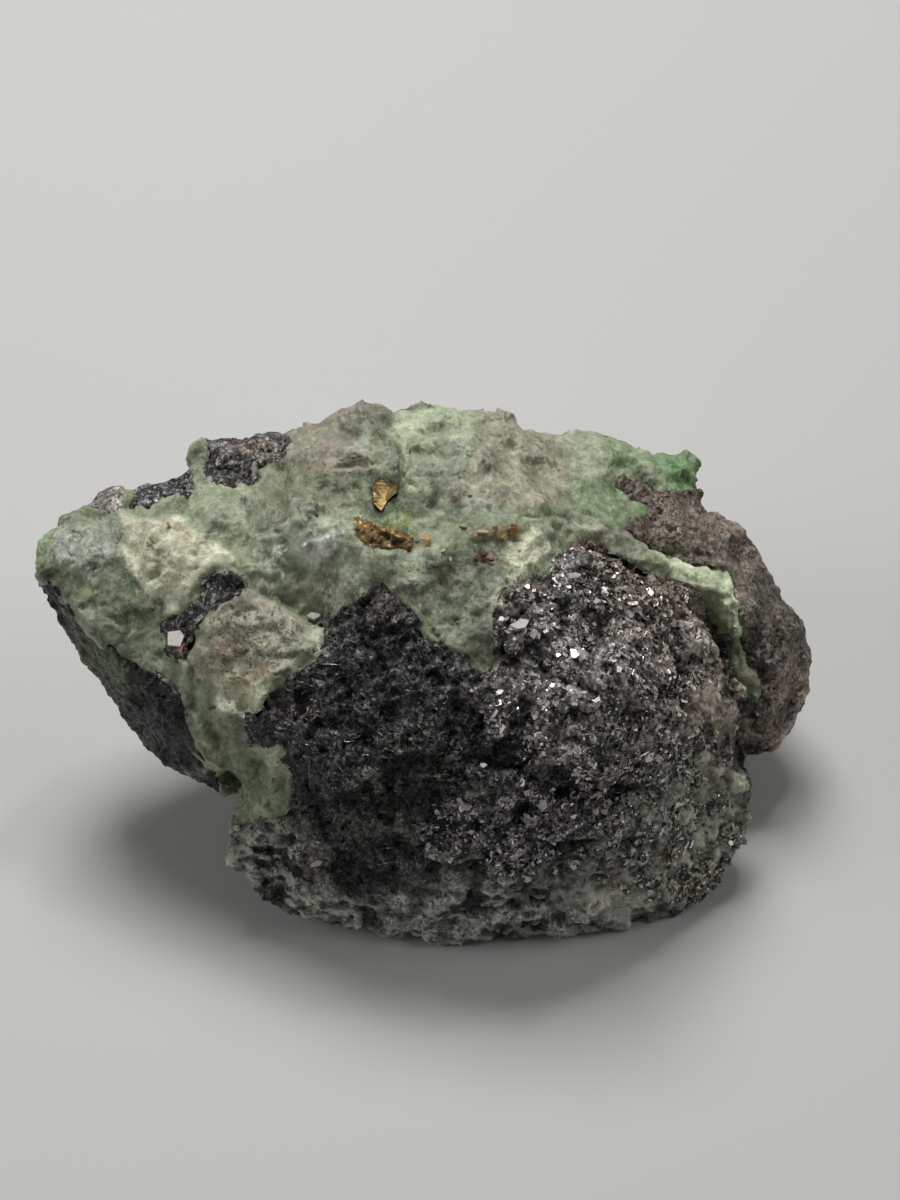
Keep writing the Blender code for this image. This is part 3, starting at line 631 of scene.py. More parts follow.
class Shader:
    """One material and the ways its nodes are made."""

    def __init__(self, name):
        self.material = bpy.data.materials.new(name)
        self.material.use_nodes = True
        self.tree = self.material.node_tree
        self.tree.nodes.clear()
        self.here = self.node("ShaderNodeTexCoord", {}, {}, "Object")

    def node(self, kind, settings, inputs, output=0):
        """Adds a node with its settings, then its inputs as values or links, and gives one output."""
        made = self.tree.nodes.new(kind)
        for key, value in settings.items():
            setattr(made, key, value)
        for key, value in inputs.items():
            if isinstance(value, Value):
                self.tree.links.new(value.socket, made.inputs[key])
            else:
                made.inputs[key].default_value = value
        return Value(self, made.outputs[output])

    def kept(self, name, output="Color"):
        """A colour or a number that the mesh keeps for each point."""
        return self.node("ShaderNodeAttribute", {"attribute_name": name}, {}, output)

    def clouds(self, size, detail=3, roughness=0.55, where=None):
        """Noise whose swellings are about size millimetres across."""
        return self.node("ShaderNodeTexNoise", {}, {
            "Vector": where or self.here, "Scale": 1 / (size * MM), "Detail": detail,
            "Roughness": roughness})

    def cells(self, size, output="Distance", where=None):
        """Cells about size millimetres across."""
        return self.node("ShaderNodeTexVoronoi", {}, {
            "Vector": where or self.here, "Scale": 1 / (size * MM)}, output)

    def bent(self, by):
        """Places pushed about by noise, up to half of by millimetres each way."""
        noise = self.node("ShaderNodeTexNoise", {}, {
            "Vector": self.here, "Scale": 1 / (0.5 * MM), "Detail": 2.0}, "Color")
        return self.plus(self.here, self.scaled(self.centred(noise), by * MM))

    def ease(self, value, low, high, start=0.0, end=1.0):
        """Goes smoothly from start to end as the value goes from low to high."""
        return self.node("ShaderNodeMapRange", {"interpolation_type": "SMOOTHSTEP"}, {
            0: value, 1: low, 2: high, 3: start, 4: end})

    def mix(self, share, first, second, blend="MIX"):
        """A mix of two colours."""
        return self.node("ShaderNodeMix", {"data_type": "RGBA", "blend_type": blend}, {
            0: share, 6: first, 7: second}, 2)

    def vector(self, operation, first, second=(0, 0, 0), scale=1.0):
        inputs = {0: first, 1: second, 3: scale}
        return self.node("ShaderNodeVectorMath", {"operation": operation}, inputs)

    def plus(self, first, second):
        return self.vector("ADD", first, second)

    def scaled(self, first, scale):
        return self.vector("SCALE", first, scale=scale)

    def centred(self, colour):
        """A colour's parts from -0.5 to 0.5, to push a place or a normal about with."""
        return self.vector("SUBTRACT", colour, (0.5, 0.5, 0.5))

    def bump(self, strength, depth, height):
        """The surface's normal with bumps of this height, depth millimetres deep at most."""
        return self.node("ShaderNodeBump", {}, {
            "Strength": strength, "Distance": depth * MM, "Height": height})

    def finish(self, **sockets):
        """The Principled surface with these sockets, named with underscores for spaces."""
        inputs = {key.replace("_", " "): value for key, value in sockets.items()}
        surface = self.node("ShaderNodeBsdfPrincipled", {}, inputs)
        output = self.tree.nodes.new("ShaderNodeOutputMaterial")
        self.tree.links.new(surface.socket, output.inputs["Surface"])
        return self.material


def tone(paint):
    """A named paint as a material's colour."""
    return (*linear(PAINTS[paint]), 1)


# How strongly garnet bends light, and how deep under its surface light passes, in millimetres
GARNET_IOR = 1.74
GLOW_DEPTH = 0.6


def garnet_material(name, settings):
    """Waxy, partly see-through garnet: mottled green, speckled, sugary where it is freshly broken."""
    s = Shader(name)
    tint = s.kept("tint")
    speck = s.kept("speck", "Fac")
    sugar = s.kept("sugar", "Fac")
    bent = s.bent(0.4)
    veil = s.ease(s.clouds(1.1, 7, 0.72), 0.48, 0.56)
    colour = s.mix(veil * 0.14, tint, tone("veil"))
    patches = s.ease(s.cells(0.9, "Color", where=bent), 0.2, 0.8, 0.9, 1.2)
    grain = s.ease(s.cells(0.3, "Color", where=bent), 0.2, 0.8, 0.88, 1.2)
    colour = s.scaled(s.scaled(colour, patches), grain)
    along = s.vector("MULTIPLY", s.here, (1.0, 0.3, 0.5))
    fibre = s.ease(s.clouds(0.4, 5, 0.65, along), 0.48, 0.62) * sugar
    colour = s.mix(fibre * 0.5, colour, tone("fibre"))
    # Painted highlights: tiny cells lightened towards white, more where the surface is sugary
    sparkle = s.ease(s.cells(0.18, "Color"), 0.74, 0.84) * (0.16 + 0.4 * sugar)
    colour = s.mix(sparkle, colour, tone("sparkle"))
    level = 0.64 - 0.09 * speck
    dark = s.ease(s.clouds(0.26, 4, 0.72) - level, 0.0, 0.03)
    colour = s.mix(dark * 0.8, colour, tone("dark speck"))
    gloss = s.ease(s.clouds(0.8, 3), 0.3, 0.7, 0.36, 0.6)
    height = 0.7 * s.clouds(0.5, 7, 0.78) + 0.25 * s.cells(0.36, where=bent)
    toss = s.centred(s.cells(0.26, "Color"))
    facet = s.centred(s.cells(0.65, "Color", where=bent))
    normal = s.plus(s.bump(0.95, 0.15, height), s.scaled(toss, 0.2 + 0.3 * sugar))
    normal = s.vector("NORMALIZE", s.plus(normal, s.scaled(facet, 0.26)))
    return s.finish(
        Base_Color=colour, Roughness=gloss, Normal=normal,
        Subsurface_Weight=settings.translucency, Subsurface_Radius=(0.7, 0.9, 0.5),
        Subsurface_Scale=GLOW_DEPTH * MM, IOR=GARNET_IOR, Specular_IOR_Level=0.45)


def graphite_material(name, settings, harsh):
    """Flaky graphite: black to silver flakes a few tenths of a millimetre across that catch the light."""
    s = Shader(name)
    tint = s.kept("tint")
    shine = s.kept("shine", "Fac")
    pale = s.kept("pale", "Fac")
    size = settings.flake_size
    bent = s.bent(0.3)
    flake = s.cells(size, "Color", where=bent)
    sliver = s.cells(0.5 * size, "Color", where=bent)
    lift = s.node("ShaderNodeSeparateColor", {}, {"Color": flake}, 0)
    fleck = s.node("ShaderNodeSeparateColor", {}, {"Color": sliver}, 1)
    patchy = s.ease(s.clouds(0.75, 5, 0.7), 0.42, 0.6)
    silver = s.ease(lift + 0.3 * fleck, 0.5, 0.95) * patchy * shine
    dim = s.mix(fleck + 0.8 * pale, tone("dull flake"), tone("clear flake"))
    colour = s.mix(silver, s.mix(1.0, tint, dim, "MULTIPLY"), tone("sheen"))
    frost = s.ease(s.clouds(0.6, 5, 0.7), 0.46, 0.56) * pale
    colour = s.mix(frost * (0.2 + 0.4 * fleck), colour, tone("pale grit"))
    # Painted glints: tiny cells lightened towards white, more where the graphite shines
    glint = s.ease(s.cells(0.14, "Color"), 0.78, 0.84) * (0.08 + 0.65 * shine)
    colour = s.mix(glint, colour, tone("glint"))
    height = 0.7 * s.clouds(0.6, 6, 0.7) + 0.3 * s.cells(size)
    toss = s.plus(s.scaled(s.centred(flake), 1.1), s.scaled(s.centred(sliver), 0.7))
    toss = s.scaled(toss, harsh * (1 - 0.6 * pale))
    normal = s.vector("NORMALIZE", s.plus(s.bump(0.7, 0.22, height), toss))
    return s.finish(
        Base_Color=colour, Metallic=s.ease(silver, 0.0, 1.0, 0.2, 0.9) * (1 - 0.8 * pale),
        Roughness=s.ease(fleck, 0.0, 1.0, 0.3, 0.55) + 0.12 * pale, Normal=normal)


def flake_material(name, metal, least_roughness):
    """Smooth flakes of many shades."""
    s = Shader(name)
    tint = s.kept("tint")
    streak = s.ease(s.clouds(0.12, 3), 0.35, 0.65, 0.8, 1.1)
    return s.finish(
        Base_Color=s.scaled(tint, streak), Metallic=metal, Normal=s.bump(0.3, 0.03, s.clouds(0.1, 3)),
        Roughness=s.ease(s.clouds(0.3, 2), 0.3, 0.7, least_roughness, least_roughness + 0.2))


def pyrite_material(name):
    """Striated, slightly tarnished bronze."""
    s = Shader(name)
    tint = s.kept("tint")
    lines = s.node("ShaderNodeTexWave", {"wave_type": "BANDS", "bands_direction": "DIAGONAL"}, {
        "Vector": s.here, "Scale": 1 / (3.2 * MM), "Distortion": 2.5, "Detail": 3.0})
    tarnish = s.clouds(0.5, 4)
    colour = s.mix(s.ease(tarnish, 0.42, 0.62), tint, s.mix(1.0, tint, tone("tarnish"), "MULTIPLY"))
    colour = s.mix(s.ease(lines, 0.3, 0.8, 0.0, 0.4), colour, tone("ridge"))
    height = lines + 0.6 * s.clouds(0.3, 3)
    return s.finish(
        Base_Color=colour, Metallic=0.55, Normal=s.bump(0.5, 0.1, height),
        Roughness=s.ease(tarnish, 0.3, 0.7, 0.36, 0.6))


def floor_material(settings):
    s = Shader("floor")
    return s.finish(Base_Color=(*settings.floor_colour, 1), Roughness=0.6)


# Settings

class GarnetSettings(bpy.types.PropertyGroup):
    step: FloatProperty(
        name="Mesh step", description="Size of the skin's faces, in millimetres", default=0.27, min=0.15)
    chip_depth: FloatProperty(
        name="Chip depth", description="How deep the broken chips are, in millimetres", default=0.34, min=0)
    patch_lift: FloatProperty(
        name="Patch lift", description="How far pale patches stand over deep green ones, in millimetres",
        default=0.22, min=0)
    press: FloatProperty(
        name="Press", description="How far the band on the right is pressed flat, in millimetres",
        default=0.5, min=0)
    translucency: FloatProperty(
        name="Translucency", description="How much light passes under the surface",
        default=0.14, min=0, max=1, subtype="FACTOR")


class GraphiteSettings(bpy.types.PropertyGroup):
    step: FloatProperty(
        name="Mesh step", description="Size of the skin's faces, in millimetres", default=0.24, min=0.15)
    overlap: FloatProperty(
        name="Overlap", description="How far it stands over the garnet, in millimetres", default=0.1, min=0)
    grain_height: FloatProperty(
        name="Grain height", description="How high its grains stand, in millimetres", default=0.3, min=0)
    flake_size: FloatProperty(
        name="Flake size", description="Width of the flakes, in millimetres", default=0.4, min=0.1)
    flake_count: IntProperty(
        name="Flakes", description="How many silver flakes lie on the dome", default=10500, min=1)
    hair_count: IntProperty(
        name="Hairs", description="How many fine hairs lie on the dark side", default=1000, min=1)


class StageSettings(bpy.types.PropertyGroup):
    floor_colour: FloatVectorProperty(
        name="Floor", description="Colour of the floor", subtype="COLOR", size=3,
        default=(0.66, 0.655, 0.64), min=0, max=1)
    lamp_strength: FloatProperty(
        name="Lamps", description="How strong the lamps are, as a share of their own powers",
        default=1.0, min=0, subtype="FACTOR")
    sky: FloatProperty(
        name="Room light", description="Strength of the even light from all round", default=0.05, min=0)


# Pieces

# The surface of each solid, and the whole stone's
SOLIDS = {name: Form(obj.data) for name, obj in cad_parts.items()}
STONE = stone_form()


# Widths of the garnet's chips, of its grains of lighter and deeper green, and of the zones of colour at
# its back, in millimetres
WIDE_CHIP = 4.2
CHIP = 1.8
FINE_CHIP = 0.8
GREEN_GRAIN = 2.4
ZONE = 8.0
# How rough a skin's border is, and how deep the garnet's slits are, in millimetres
BORDER_ROUGHNESS = 0.24
SLIT_DEPTH = 0.3
# The shares of the skins' faces that are left after those deep in the stone are thinned
GARNET_KEEP = 0.68
FRONT_KEEP = 0.72


def make_garnet(settings):
    """The garnet's skin: chipped, paler where it stands proud, and stained towards the dark lumps."""
    obj, points, out, past, hold = lap_skin("tsavorite", settings.step, GARNET_KEEP)
    mesh = obj.data
    front = faces_front(out)
    near = warped(points, on_face(points), 0.25)
    colour = painted(points, "mid", GARNET_PATCHES, front)
    zone = rough(shaken(points, 0.8, 3.0, 62), ZONE, 61) * (1 - front)
    for paint, share in (("deep", zone), ("beige", -zone)):
        wash(colour, 0.9 * smooth_step(share, 0.05, 0.3), paint)
    lift = np.clip(colour.mean(axis=1) / linear(PAINTS["mid"]).mean() - 1, -0.6, 0.45)
    big = chips(shaken(points, 0.5, 2.0, 9), WIDE_CHIP, 3)
    small = chips(shaken(points, 0.2, 0.9, 8), CHIP, 5)
    rise = 0.9 * big + 0.45 * small + 0.14 * chips(points, FINE_CHIP, 6) + 0.16 * rough(points, 0.6, 7)
    rise = settings.chip_depth * rise + settings.patch_lift * (lift - 0.2)
    rise *= 1 - 0.6 * smooth_step(past, -1, 0)
    slit = along_lines(near, GARNET_LINES, front)
    border = BORDER_ROUGHNESS * rough(points, 1.1, 25) * (1 - abs(past))
    rise += border - DIP * np.clip(past, 0, 1) - SLIT_DEPTH * slit
    rise -= settings.press * amount(points, PRESSED_PLACES, front)
    place_points(mesh, points + out * (hold * rise)[:, None])
    _, _, own, _ = grains(shaken(points, 0.5, 1.2, 55), GREEN_GRAIN, 53)
    lean = own[:, 0] - 0.5
    wash(colour, 0.5 * np.clip(lean, 0, 1), "light")
    wash(colour, 0.7 * np.clip(-lean, 0, 1), "deep")
    # Lighter where the small chips stand high and darker where they sink, as painted light and shade on the
    # chips, with random tone besides
    colour *= (1 + 0.14 * small + 0.14 * rough(points, 1.1, 51))[:, None]
    # The slits are painted dark, partly as painted shade in them
    wash(colour, 0.9 * slit, "slit")
    contact = smooth_step(past, -1, 0.3)
    store(mesh, "tint", np.clip(colour, 0, 1))
    stain = smooth_step(rough(points, 5.0, 63), 0.1, 0.6) * (1 - front)
    store(mesh, "speck", np.clip(amount(points, SPECK_PLACES, front) + 1.3 * contact + stain, 0, 1.8))
    store(mesh, "sugar", amount(points, SUGAR_PLACES, front))
    return finished(obj, "tsavorite", garnet_material("garnet", settings))


# The front lump: its paints, each with its strength and the oval or outline that it covers, then where it
# shines, is beaded with pale grains and is streaked, and its gaps, which are sunk and painted with shade
FRONT_PAINT = (
    ("silver", 0.9, (10.5, -5.0, 8.0, 7.5, -20)),
    ("silver", 0.85, (12.6, -9.6, 8.4, 5.4, -20)),
    ("pale brown", 1.0, (16.4, -0.4, 5.2, 3.8, -30)),
    ("pale brown", 0.9, (19.0, -5.0, 3.4, 4.6, 0)),
    ("red brown", 0.7, ((8.6, 5.2), (10.8, 5.4), (14.4, 3.4), (19.0, 0.6), (20.4, -1.6), (17.4, -1.4),
        (13.6, 1.2), (10.6, 3.2), (8.6, 3.2))),
    ("dark green", 0.8, (12.4, 0.6, 1.7, 1.3, -30)),
    ("pink grey", 0.8, (5.4, 0.6, 2.8, 1.4, 20)),
    ("brown", 0.6, (-5.8, -0.4, 2.2, 1.8, 0)),
    ("pale brown", 0.9, (21.4, -8.6, 3.0, 6.0, 0)),
    ("grey green", 0.9, (20.0, -16.4, 4.6, 5.2, 0)),
    ("grey", 0.3, (13.6, -20.6, 5.4, 3.4, 0)),
    ("grey green", 0.7, (17.0, -22.6, 4.4, 2.4, 20)),
    # The film on the downward-facing underside is painted lighter than it is, as painted light
    ("film_and_painted_light", 1.0, (4.0, -25.0, 13.0, 3.2, 3)),
    ("film_and_painted_light", 0.5, (-13.2, -20.6, 6.4, 2.8, -42)),
    ("rust", 0.8, (17.0, -19.6, 0.9, 0.7, 0)),
    ("rust", 0.9, (18.6, -22.2, 1.4, 0.7, 20)),
    ("tan", 0.8, (13.2, -21.8, 0.7, 0.5, 60)),
    ("green", 0.9, (-5.0, -17.2, 1.5, 1.1, 20)),
    ("green", 0.7, (-5.8, -14.1, 1.0, 0.8, 0)),
    ("green", 0.7, (-0.6, -13.4, 1.0, 1.0, 0)),
    ("green", 0.6, (-7.7, -17.6, 0.9, 1.2, 0)),
    ("dark green", 0.8, (-3.0, -10.4, 2.4, 0.9, 0)),
    ("green", 0.8, (-12.6, -17.4, 1.6, 1.0, -15)),
    ("dark red", 0.7, (-6.6, -15.6, 1.6, 1.0, 0)),
    ("dark red", 0.5, (-12.6, -8.0, 3.0, 1.2, -20)),
    ("violet black", 0.6, (8.6, -15.4, 3.6, 1.4, -15)),
)
FRONT_SHINE = (
    (1.0, (10.0, -6.0, 8.0, 8.0, -20)),
    (1.0, (10.4, 1.6, 3.4, 2.4, -20)),
    (0.9, (16.4, -3.0, 5.0, 6.0, 0)),
    (0.8, (16.0, -14.0, 7.0, 6.0, 0)),
    (0.8, (5.0, -18.0, 8.0, 4.0, 0)),
    (0.7, (17.0, -20.0, 7.0, 4.6, 0)),
)
FRONT_PALE = (
    (1.0, (20.0, -17.0, 4.8, 5.6, 0)),
    (0.75, (14.5, -20.8, 6.5, 4.4, 10)),
    (0.5, (21.5, -8.0, 2.6, 5.0, 0)),
    (0.5, (5.4, 0.4, 2.8, 1.6, 0)),
)
FRONT_STREAKS = (
    (1.0, (-15.0, -21.0, 6.4, 2.4, -42)),
    (1.0, (-3.0, -25.6, 8.0, 2.0, -10)),
    (0.9, (9.0, -24.6, 7.0, 2.4, 5)),
    (0.5, (0.0, -19.6, 5.0, 1.4, -30)),
    (0.5, (2.6, -15.6, 3.0, 1.4, -20)),
)
FRONT_GAPS = (
    (((3.9, -4.4), (4.4, -1.9), (6.3, -0.6), (8.6, 0.2)), 0.28, 0.9),
    (((4.3, -5.1), (7.1, -5.7), (9.8, -6.3), (11.8, -7.9)), 0.35, 0.8),
    (((9.8, -9.6), (12.2, -8.8)), 0.32, 0.8),
    (((12.1, -15.5), (13.5, -14.9), (15.3, -14.8)), 0.45, 1.0),
    (((7.8, -19.0), (11.0, -19.5)), 0.35, 0.7),
    (((14.9, -1.6), (16.1, -3.1), (15.7, -5.0)), 0.3, 0.7),
    (((2.4, -12.6), (6.3, -13.7), (9.4, -15.9), (12.6, -15.6)), 0.4, 0.8),
    (((6.4, -9.4), (8.2, -11.0), (11.0, -11.6)), 0.3, 0.7),
    (((18.6, -9.4), (18.0, -12.0)), 0.3, 0.6),
    (((-8.6, -20.2), (-4.0, -22.6), (0.6, -23.4)), 0.4, 0.7),
)
# The right lump's and the flank's paints
RIGHT_PAINT = (
    ("brown", 0.9, (19.0, 6.2, 4.6, 3.0, -30)),
    ("tan", 0.3, (23.4, 5.8, 1.6, 0.8, -45)),
    ("grey", 0.4, (25.6, -3.0, 3.4, 7.0, 0)),
    ("pale brown", 0.7, (25.8, -8.0, 3.0, 4.0, 0)),
    ("pink grey", 0.6, (17.6, 6.6, 1.2, 0.7, 0)),
    ("pink grey", 0.6, (20.6, 4.0, 1.2, 0.8, 0)),
    ("black", 0.7, (19.4, 3.6, 2.2, 0.7, -45)),
    ("black", 0.6, (25.2, 0.6, 0.7, 1.6, 20)),
    ("black", 0.6, (24.6, -4.6, 1.4, 2.4, 10)),
    ("black", 0.5, (26.0, -9.0, 1.6, 1.6, 0)),
    ("dark green", 0.8, (27.8, -1.8, 1.2, 1.8, 0)),
    ("dark green", 0.8, (21.6, 2.8, 1.2, 0.5, -30)),
)
RIGHT_PALE = ((0.3, (22.0, 3.0, 6.0, 6.0, 0)),)
FLANK_PAINT = (
    # The flank's hollow is painted nearly black, as painted shadow darker than the graphite's own black
    ("hollow_shadow", 0.9, ((-31.6, 0.6), (-27.0, -3.0), (-20.8, -8.0), (-18.0, -13.4), (-24.0, -14.8),
        (-34, -4))),
    ("moss", 0.9, ((-31.0, -0.6), (-29.0, -1.2), (-26.0, -4.4), (-24.4, -6.4), (-25.6, -8.6),
        (-29.6, -4.6))),
    ("film_and_painted_light", 0.35, ((-24.0, -10.8), (-22.8, -12.6), (-19.0, -13.4), (-19.8, -14.8), (-24.6, -13.4))),
    ("dark green", 0.2, ((-24.2, -8.4), (-20.6, -9.8), (-19.0, -13.0), (-22.2, -12.2), (-24.0, -10.4))),
)
# Where fine hairs lie on the dark side
HAIR_PLACES = (
    (1.0, (-6.0, -7.0, 9.0, 7.0, 0)),
    (0.8, (-6.0, -17.0, 10.0, 5.0, 0)),
    (0.5, (4.0, -16.0, 6.0, 5.0, 0)),
    (0.8, (-5.6, 0.2, 2.6, 1.6, 0)),
)


@dataclass
class Lump:
    """One graphite lump: its base paint, the paints on it, where it shines, where it is beaded with
    pale grains or streaked, its gaps, sunk and painted with shade, and its least shine and roughness."""

    base: str
    paints: tuple = ()
    shine: tuple = ()
    pale: tuple = ()
    streaks: tuple = ()
    gaps: tuple = ()
    least_shine: float = 0.3
    harsh: float = 1.0


LUMPS = {
    "graphite_front": Lump("black", FRONT_PAINT, FRONT_SHINE, FRONT_PALE, FRONT_STREAKS, FRONT_GAPS),
    "graphite_right": Lump("brown", RIGHT_PAINT, pale=RIGHT_PALE, least_shine=0.2, harsh=0.6),
    "graphite_flank": Lump("black", FLANK_PAINT, least_shine=0.05, harsh=0.6),
    "graphite_knob_left": Lump("silver", (("pink grey", 0.5, (-25.8, 8.2, 1.2, 0.8, 0)),), harsh=0.4,
                               least_shine=0.8),
    "graphite_knob_ridge": Lump("black", least_shine=0.7, harsh=0.5),
    "graphite_crest": Lump("lead", (("pink grey", 0.5, (-15.6, 11.4, 1.8, 0.8, 0)),), least_shine=0.6,
                           harsh=0.6),
    "graphite_seam": Lump("black", least_shine=0.4, harsh=0.6),
}


# Widths of the graphite's swellings, pits, pale beads, crumbs and fine crumbs, in millimetres
SWELLING = 3.2
PIT = 1.7
BEAD = 0.8
CRUMB = 1.0
FINE_CRUMB = 0.5
# How high the beads and streaks stand and how deep the gaps go, in millimetres
BEAD_HEIGHT = 0.16
STREAK_HEIGHT = 0.05
GAP_DEPTH = 0.6


def make_graphite(node, settings):
    """One graphite lump's skin: crumbly and pitted, beaded or streaked where its lists say so."""
    lump = LUMPS[node]
    big = node == "graphite_front"
    obj, points, out, past, hold = lap_skin(node, settings.step, FRONT_KEEP if big else 1)
    mesh = obj.data
    front = faces_front(out)
    colour = painted(points, lump.base, lump.paints, front)
    light = amount(points, lump.pale, front)
    streaky = amount(points, lump.streaks, front)
    shining = np.maximum(amount(points, lump.shine, front), lump.least_shine)
    gap = along_lines(warped(points, on_face(points), 0.4), lump.gaps, front)
    pits = smooth_step(rough(points, PIT, 13, 4), -0.05, 0.4)
    fine = chips(points, FINE_CRUMB, 17)
    middle, beyond, own, _ = grains(shaken(points, 0.3, 0.8, 75), BEAD, 73)
    bead = light * smooth_step(beyond - middle, 0.06, 0.4) * smooth_step(own[:, 0], 0.3, 0.6)
    streak = streaky * smooth_step(rough(points * (0.3, 1, 1), 0.5, 77, 3), 0.1, 0.5)
    rise = 0.6 * chips(points, CRUMB, 15) + 0.35 * fine + 1.0 * rough(points, SWELLING, 19) - 1.4 * pits
    rise = lump.harsh * settings.grain_height * rise
    rise = rise + BEAD_HEIGHT * bead + STREAK_HEIGHT * streak - GAP_DEPTH * gap
    border = BORDER_ROUGHNESS * rough(points, 1.2, 23) * (1 - abs(past))
    rise += border + settings.overlap - DIP * np.clip(past, 0, 1)
    points = points + out * (hold * rise)[:, None]
    place_points(mesh, points)
    # Pits and gaps are painted darker, as painted shade in the hollows; they also shine less and get no
    # flakes
    dark = np.maximum(0.88 * pits * lump.harsh * (1 - 0.35 * light), 0.9 * gap)
    # Random tone, and lighter where the fine crumbs stand high and darker where they sink: painted light and
    # shade on the crumbs
    tone_and_crumb_shade = 1.5 + 0.45 * rough(points, 1.6, 71) + 0.35 * fine
    colour *= (tone_and_crumb_shade * (1 - dark))[:, None]
    grain = linear(PAINTS["grain"]) * (0.5 + own[:, 1:2])
    colour += (0.9 * bead * (1 - dark))[:, None] * (grain - colour)
    wash(colour, 0.8 * streak, "streak")
    store(mesh, "tint", np.clip(colour, 0, 1))
    store(mesh, "shine", shining * (1 - dark))
    store(mesh, "pale", np.maximum(light, streak))
    if big:
        open_top = (1 - dark) * front * (past < -0.6)
        clump = smooth_step(rough(points, 1.3, 91), -0.2, 0.35)
        make_flakes(points, out, colour, open_top * clump * smooth_step(shining, 0.3, 0.9), settings)
        make_hairs(Form(mesh), points, open_top * amount(points, HAIR_PLACES, front), settings)
    return finished(obj, node, graphite_material(node, settings, lump.harsh))


def across_ways(out, draw):
    """Two ways at right angles to each of these and to each other, turned at random."""
    side = np.cross(out, draw.normal(size=out.shape))
    side /= np.linalg.norm(side, axis=1)[:, None]
    return side, np.cross(out, side)


def picked(weight, count, draw):
    return draw.choice(len(weight), count, p=weight / weight.sum(), replace=False)


def loose_piece(name, points, faces, tints, material):
    """A piece of many small parts that rides on the stone's body, with a colour for each point."""
    mesh = bpy.data.meshes.new(name)
    mesh.from_pydata((points * MM).tolist(), [], faces)
    store(mesh, "tint", tints)
    obj = linked(name, mesh)
    place_points(mesh, points)
    mesh.materials.append(material)
    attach(obj, "root")
    return obj


# How many corners a flake has
CORNERS = 5


def plates(name, middles, ways, halves, shades, draw, material):
    """Thin many-sided plates: each has a middle, three ways (long, wide and out) and half sizes."""
    evenly = np.linspace(0, 2 * math.pi, CORNERS, endpoint=False)
    turn = evenly + draw.uniform(-0.3, 0.3, (len(middles), CORNERS))
    reach = draw.uniform(0.7, 1.1, turn.shape)
    rings = []
    for side in (1, -1):
        ring = middles[:, None]
        for way, share, half in zip(ways, (np.cos(turn) * reach, np.sin(turn) * reach, side), halves.T):
            ring = ring + way[:, None] * (share * half[:, None])[..., None]
        rings.append(ring)
    points = np.stack(rings, axis=1).reshape(-1, 3)
    faces = []
    for first in range(0, len(points), 2 * CORNERS):
        top = list(range(first, first + CORNERS))
        faces.append(top)
        faces.append([corner + CORNERS for corner in reversed(top)])
        for here, after in zip(top, top[1:] + top[:1]):
            faces.append((after, here, here + CORNERS, after + CORNERS))
    return loose_piece(name, points, faces, np.repeat(shades, 2 * CORNERS, axis=0), material)


# The silver flakes: their usual half width, their half thickness and how low and high they lie, in
# millimetres, the spread of their widths, how many times longer than wide they are, and how they lean
FLAKE_HALF = 0.15
FLAKE_THICK = 0.025
FLAKE_LIE = (-0.05, 0.06)
FLAKE_SPREAD = 0.4
FLAKE_LONG = (1, 1.8)
FLAKE_LEAN = 0.42


def make_flakes(points, out, colour, weight, settings):
    """Silver flakes that lie on the dome, each leaning its own way and partly sunk in."""
    draw = np.random.default_rng(83)
    chosen = picked(weight, settings.flake_count, draw)
    lean = out[chosen] + FLAKE_LEAN * draw.normal(size=(len(chosen), 3))
    lean /= np.linalg.norm(lean, axis=1)[:, None]
    half = draw.lognormal(math.log(FLAKE_HALF), FLAKE_SPREAD, len(chosen))
    thick = np.full(len(half), FLAKE_THICK)
    halves = np.stack([half * draw.uniform(*FLAKE_LONG, len(half)), half, thick], axis=1)
    middles = points[chosen] + out[chosen] * draw.uniform(*FLAKE_LIE, (len(chosen), 1))
    hue = colour[chosen] / colour[chosen].mean(axis=1)[:, None]
    bright = draw.uniform(0.1, 1.0, (len(chosen), 1)) ** 1.5
    shades = linear(PAINTS["loose flake"]) * (0.6 + 0.4 * hue) * bright
    ways = (*across_ways(lean, draw), lean)
    plates("silver_flakes", middles, ways, halves, shades, draw, flake_material("silver_flakes", 0.5, 0.22))


# The hairs: how many rings each is made of, how far it stands off the graphite, its least and most half
# width and way from ring to ring, in millimetres, and how it bends there
HAIR_JOINTS = 6
HAIR_LIFT = 0.05
HAIR_HALF = (0.012, 0.028)
HAIR_PACE = (0.05, 0.26)
HAIR_BEND = 0.16


